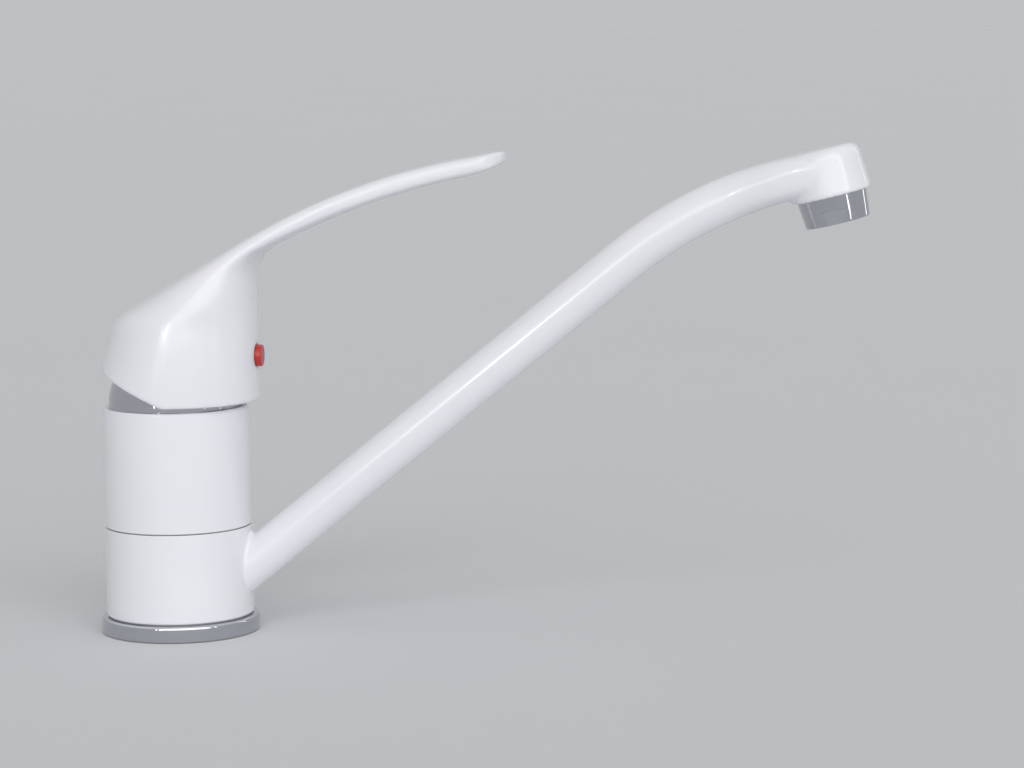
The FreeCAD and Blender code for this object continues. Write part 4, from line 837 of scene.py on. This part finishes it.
# %% Roll a thread
STUD_PITCH, STUD_STEPS, PITCH_STEPS = 1.25, 40, 8
THREAD_DEPTH = 0.54 * STUD_PITCH
stud_low, stud_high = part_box("fixing_stud")
STUD_SIDE = (stud_high.y - stud_low.y) / 2 / MM
STUD_TALL = (stud_high.z - stud_low.z) / MM
thread = Shaper("thread", Tall=STUD_TALL * MM, Pitch=STUD_PITCH * MM, Side=STUD_SIDE * MM,
                Depth=THREAD_DEPTH * MM, Around=STUD_STEPS + 1, Up=int(STUD_TALL / STUD_PITCH * PITCH_STEPS))
sheet = thread.node("GeometryNodeMeshGrid", sockets={
    "Size X": 1.0, "Size Y": 1.0, "Vertices X": thread.size("Around"), "Vertices Y": thread.size("Up")})
wide, tall, _ = thread.place()
lap = thread.maths("ADD", wide, 0.5)
level = thread.maths("MULTIPLY", thread.maths("ADD", tall, 0.5), thread.size("Tall"))
pitches = thread.maths("SUBTRACT", thread.maths("DIVIDE", level, thread.size("Pitch")), lap)
groove = thread.maths("PINGPONG", pitches, 0.5)
deep = thread.maths("MULTIPLY", thread.maths("MULTIPLY", groove, 2.0), thread.size("Depth"))
side = thread.maths("SUBTRACT", thread.size("Side"), deep)
angle = thread.maths("MULTIPLY", lap, math.tau)
rolled = thread.moved(sheet, thread.maths("MULTIPLY", thread.maths("COSINE", angle), side),
                      thread.maths("MULTIPLY", thread.maths("SINE", angle), side), level)
welded = thread.node("GeometryNodeMergeByDistance", sockets={"Geometry": rolled, "Distance": WELD})
print("turns of thread:", round(STUD_TALL / STUD_PITCH, 1))

# %% [markdown]
# The stud's ends
#
# A stud is cut to length and ends in flat faces, while the rolled sheet is open at both ends. A cap could be
# part of the tree, but filling an open edge with one face is a single step on the finished mesh. The points
# are then moved to the solid's place, and not the object, so its origin stays with the frame's.

# %% Close the stud's ends
stud = bmesh.new()
stud.from_mesh(thread.mesh("stud_thread", welded, FINISHES["zinc_steel"]))
close_holes(stud)
bmesh.ops.translate(stud, verts=stud.verts, vec=((stud_low.x + stud_high.x) / 2, 0, stud_low.z))
dress("threaded_stud", smooth_mesh("threaded_stud", stud, sharp=25), "fixing_stud")
print("stud", round(2 * STUD_SIDE, 1), "mm thick and", round(STUD_TALL, 1), "mm long")

# %% [markdown]
# The nut on the stud
#
# A hexagon nut is a prism whose corners have been cut back by a cone, which leaves the curved edges that
# everyone knows. A boolean of prism and cone would make them, but both surfaces are formulas of the angle:
# the flats give the side, and the cone gives the height where the side ends. So the lathe's rows do it.

# %% Hexagon nut
nut_low, nut_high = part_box("clamp_nut")
NUT_FLAT = (nut_high.x - nut_low.x) / 2
NUT_BORE, CHAMFER_SHARE, CHAMFER_SLOPE, NUT_STEPS = 4.05 * MM, 0.95, math.radians(30), 96
SIXTH = math.pi / 3


def nut_outline(around):
    """The nut's outline at one angle, as points (radius, height)."""
    away = NUT_FLAT / math.cos((around + SIXTH / 2) % SIXTH - SIXTH / 2)
    cut = (away - NUT_FLAT * CHAMFER_SHARE) * math.tan(CHAMFER_SLOPE)
    return [(NUT_BORE, nut_low.z), (NUT_FLAT * CHAMFER_SHARE, nut_low.z), (away, nut_low.z + cut),
            (away, nut_high.z - cut), (NUT_FLAT * CHAMFER_SHARE, nut_high.z), (NUT_BORE, nut_high.z)]


turns = [math.tau * step / NUT_STEPS for step in range(NUT_STEPS)]
nut = joined([swung(nut_outline(around), around) for around in turns])
bmesh.ops.translate(nut, verts=nut.verts, vec=((nut_low.x + nut_high.x) / 2, 0, 0))
dress("hexagon_nut", smooth_mesh("hexagon_nut", nut, sharp=24), "clamp_nut")
print("nut", round(2 * NUT_FLAT / MM, 1), "mm across its flats")

# %% [markdown]
# Stamped plate and rubber under the deck
#
# A horseshoe of steel, with one of rubber on it, presses against the deck from below. A stamped plate has a
# soft edge where the punch went in, and moulded rubber is rounded all round. Their solids are right but
# for these small edges, so a Bevel modifier on the welded copy is all they need.

# %% Clamp plate and clamp rubber
EDGE_STEPS, EDGE_BEND = 2, math.radians(50)


def soften(name, node, width):
    """Dress a solid with its own welded copy, with its edges rounded over a small width."""
    piece = dress(name, smooth_mesh(name, copy_of(node), sharp=30), node)
    bevel = piece.modifiers.new("edges", "BEVEL")
    bevel.width, bevel.segments, bevel.limit_method = width, EDGE_STEPS, "ANGLE"
    bevel.angle_limit, bevel.harden_normals = EDGE_BEND, True
    print(name, "rounded by", round(width / MM, 2), "mm")


soften("stamped_plate", "clamp_plate", 0.3 * MM)
soften("clamp_rubber", "clamp_gasket", 0.35 * MM)

# %% [markdown]
# The index plug
#
# A small moulded plug tells hot from cold: red towards one side, blue towards the other. Two halves
# modelled apart would hardly meet along one curve. So each is the same turned form with a low dome, cut
# along its middle, and they share every line.

# %% Red and blue halves
PLUG_SIDE, PLUG_SEAT, PLUG_PROUD, SPLIT_GAP = 3.7, 1.6, 1.8, 0.02
PLUG_EDGE, BACK_EDGE = 0.45, 0.1
PLUG_DOME, DOME_SHARE, DOME_RISE, DOME_EASE = 0.1, 0.5, 0.7, 2.0
FACE_TILT = 0.3
PLUG_LEAN = Matrix.Rotation(math.radians(90 + FACE_TILT), 4, "Y")


def plug_form():
    """The whole plug, upright."""
    tall = PLUG_SEAT + PLUG_PROUD - PLUG_DOME
    cap = rounded(scaled([
        (0, 0, 0), (PLUG_SIDE, 0, BACK_EDGE), (PLUG_SIDE, tall - PLUG_DOME, PLUG_EDGE),
        (PLUG_SIDE * DOME_SHARE, tall + PLUG_DOME * DOME_RISE, DOME_EASE), (0, tall + PLUG_DOME, 0)]))
    form = lathe(cap, steps=96)
    bmesh.ops.remove_doubles(form, verts=form.verts, dist=WELD)
    return form


def plug_half(name, node, side):
    """One half, on the side of the tap given by 1 or -1, set where its solid is."""
    points = [PLUG_LEAN.inverted() @ point.co for point in NODES[node].data.vertices]
    middle_x = sum(limit(point.x for point in points) for limit in (min, max)) / 2
    base = max(point.z for point in points) - (PLUG_SEAT + PLUG_PROUD) * MM
    half = plug_form()
    bmesh.ops.bisect_plane(half, geom=half.verts[:] + half.edges[:] + half.faces[:],
                           plane_co=(0, side * SPLIT_GAP * MM, 0), plane_no=(0, side, 0), clear_inner=True)
    close_holes(half)
    bmesh.ops.translate(half, verts=half.verts, vec=(middle_x, 0, base))
    bmesh.ops.transform(half, matrix=PLUG_LEAN, verts=half.verts)
    dress(name, smooth_mesh(name, half, sharp=35), node)


plug_half("plug_red", "index_plug_red", -1)
plug_half("plug_blue", "index_plug_blue", 1)
print("plug", 2 * PLUG_SIDE, "mm across")

# %% [markdown]
# The floor
#
# The tap stands on its deck, a plain pale floor at height zero, and what lies under the deck stays under
# it. A curved backdrop would need a bend behind the tap that other views see from behind. A floor so wide
# that its edge lies far off looks alike from all sides, if the sky begins in the floor's own tone.

# %% Floor
FLOOR_SIZE, FLOOR_DROP = 40.0, 0.02 * MM
PALE, SHADE = colour(226, 227, 230), colour(224, 225, 228)


def floor_finish():
    finish = Finish("pale_floor")
    grain = finish.noise(3)
    return finish.surface(base_color=finish.mix(grain, PALE, SHADE), roughness=0.95)


bpy.ops.mesh.primitive_plane_add(size=FLOOR_SIZE, location=(0, 0, -FLOOR_DROP))
floor = bpy.context.object
floor.name = "floor"
floor.data.materials.append(floor_finish())
print("floor", FLOOR_SIZE, "m across")

# %% [markdown]
# The world
#
# The world fills the shadows with an even, plain light. What the camera sees behind the floor, and what
# metal and glass mirror or let through, is another matter: there the world starts in the tone of the lit
# floor, so no horizon shows, and grows paler towards the top, as the ceiling of a bright room does. Light
# Path tells these rays from the rest, so a pale backdrop throws no more light on the tap.

# %% World
AMBIENT, FLOOR_LEVEL = 0.46, 0.692
SKY_START, SKY_END, SKY_LEVEL = 0.15, 0.8, 0.95


def plain(level):
    return level, level, level, 1


world = bpy.data.worlds.new("studio")
bpy.context.scene.world = world
world.use_nodes = True
sky = Web(world.node_tree)
seen = sky.node("LightPath", result="Is Camera Ray")
for ray in ("Is Glossy Ray", "Is Transmission Ray"):
    seen = sky.maths("MAXIMUM", seen, sky.node("LightPath", result=ray))
heading = sky.node("TexCoord", result="Generated")
climb = sky.node("SeparateXYZ", sockets={0: heading}, result="Z")
horizon = tuple((here + there) / 2 * FLOOR_LEVEL for here, there in zip(PALE, SHADE))
backdrop = sky.mix(sky.ramp(climb, SKY_START, SKY_END), horizon, plain(SKY_LEVEL))
tone = sky.mix(seen, plain(AMBIENT), backdrop)
sky.node("OutputWorld", sockets={"Surface": sky.node("Background", sockets={"Color": tone})})
print("horizon", [round(part, 3) for part in horizon[:3]], "and sky", SKY_LEVEL)

# %% [markdown]
# The lamps
#
# A very broad soft lamp as far away as the sun lights floor and tap evenly, so the floor doesn't fade with
# distance. By itself it leaves gloss without a spark. Gloss shows in thin bright lines, the mirror images of
# narrow lights: two strips and a small spot in front, and a strip behind, draw them on paint and chrome.
# These four show in reflections only and light nothing, or they would leave bright patches on the floor.

# %% Lamps
AIM = Vector((0.09, 0, 0.08))


def lamp(name, kind, where, energy, **shape):
    """A lamp that looks at the middle of the tap."""
    light = bpy.data.lights.new(name, kind)
    light.energy = energy
    for setting, size in shape.items():
        setattr(light, setting, size)
    item = bpy.data.objects.new(name, light)
    item.location = where
    item.rotation_euler = (AIM - Vector(where)).to_track_quat("-Z", "Y").to_euler()
    bpy.context.scene.collection.objects.link(item)
    return item


def glint(name, where, energy, wide, tall):
    """A small panel that shows only in what mirrors it."""
    panel = lamp(name, "AREA", where, energy, shape="RECTANGLE", size=wide, size_y=tall)
    panel.visible_diffuse = False


lamp("soft_lamp", "SUN", (0.6, -1.5, 0.5), 1.95, angle=math.radians(76))
glint("left_strip", (-0.74, -1.75, 0.36), 0.6, wide=0.045, tall=0.66)
glint("left_spot", (-0.5, -1.7, 0.36), 1.5, wide=0.1, tall=0.1)
glint("right_strip", (0.6, -0.29, 0.2), 0.08, wide=0.03, tall=0.36)
glint("back_strip", (0.66, 0.36, 0.3), 0.15, wide=0.04, tall=0.5)

# %% [markdown]
# The camera
#
# A camera could be matched by eye, but a long lens hides small errors of distance. The drum gives firm
# hold: its straight sides, its top edge and its seam fix the camera. They give a long lens a little over a
# metre away, looking slightly down and rolled by under a degree, with the spout a few degrees towards it.

# %% Camera
IMAGE_WIDTH, FOCAL_PIXELS, SENSOR = 1024, 3200, 36.0
EYE = Vector((0.2645, -1.0568, 0.2130))
SWING, PITCH, ROLL = (math.radians(angle) for angle in (8.0, 6.84, -0.81))

lens = bpy.data.cameras.new("camera")
lens.sensor_width, lens.lens = SENSOR, FOCAL_PIXELS / IMAGE_WIDTH * SENSOR
camera = bpy.data.objects.new("camera", lens)
turn = (Matrix.Rotation(SWING, 4, "Z") @ Matrix.Rotation(math.pi / 2 - PITCH, 4, "X")
        @ Matrix.Rotation(ROLL, 4, "Z"))
camera.matrix_world = Matrix.Translation(EYE) @ turn
bpy.context.scene.collection.objects.link(camera)
bpy.context.scene.camera = camera
bpy.context.scene.view_settings.view_transform = "Standard"
print("lens", lens.lens, "mm")
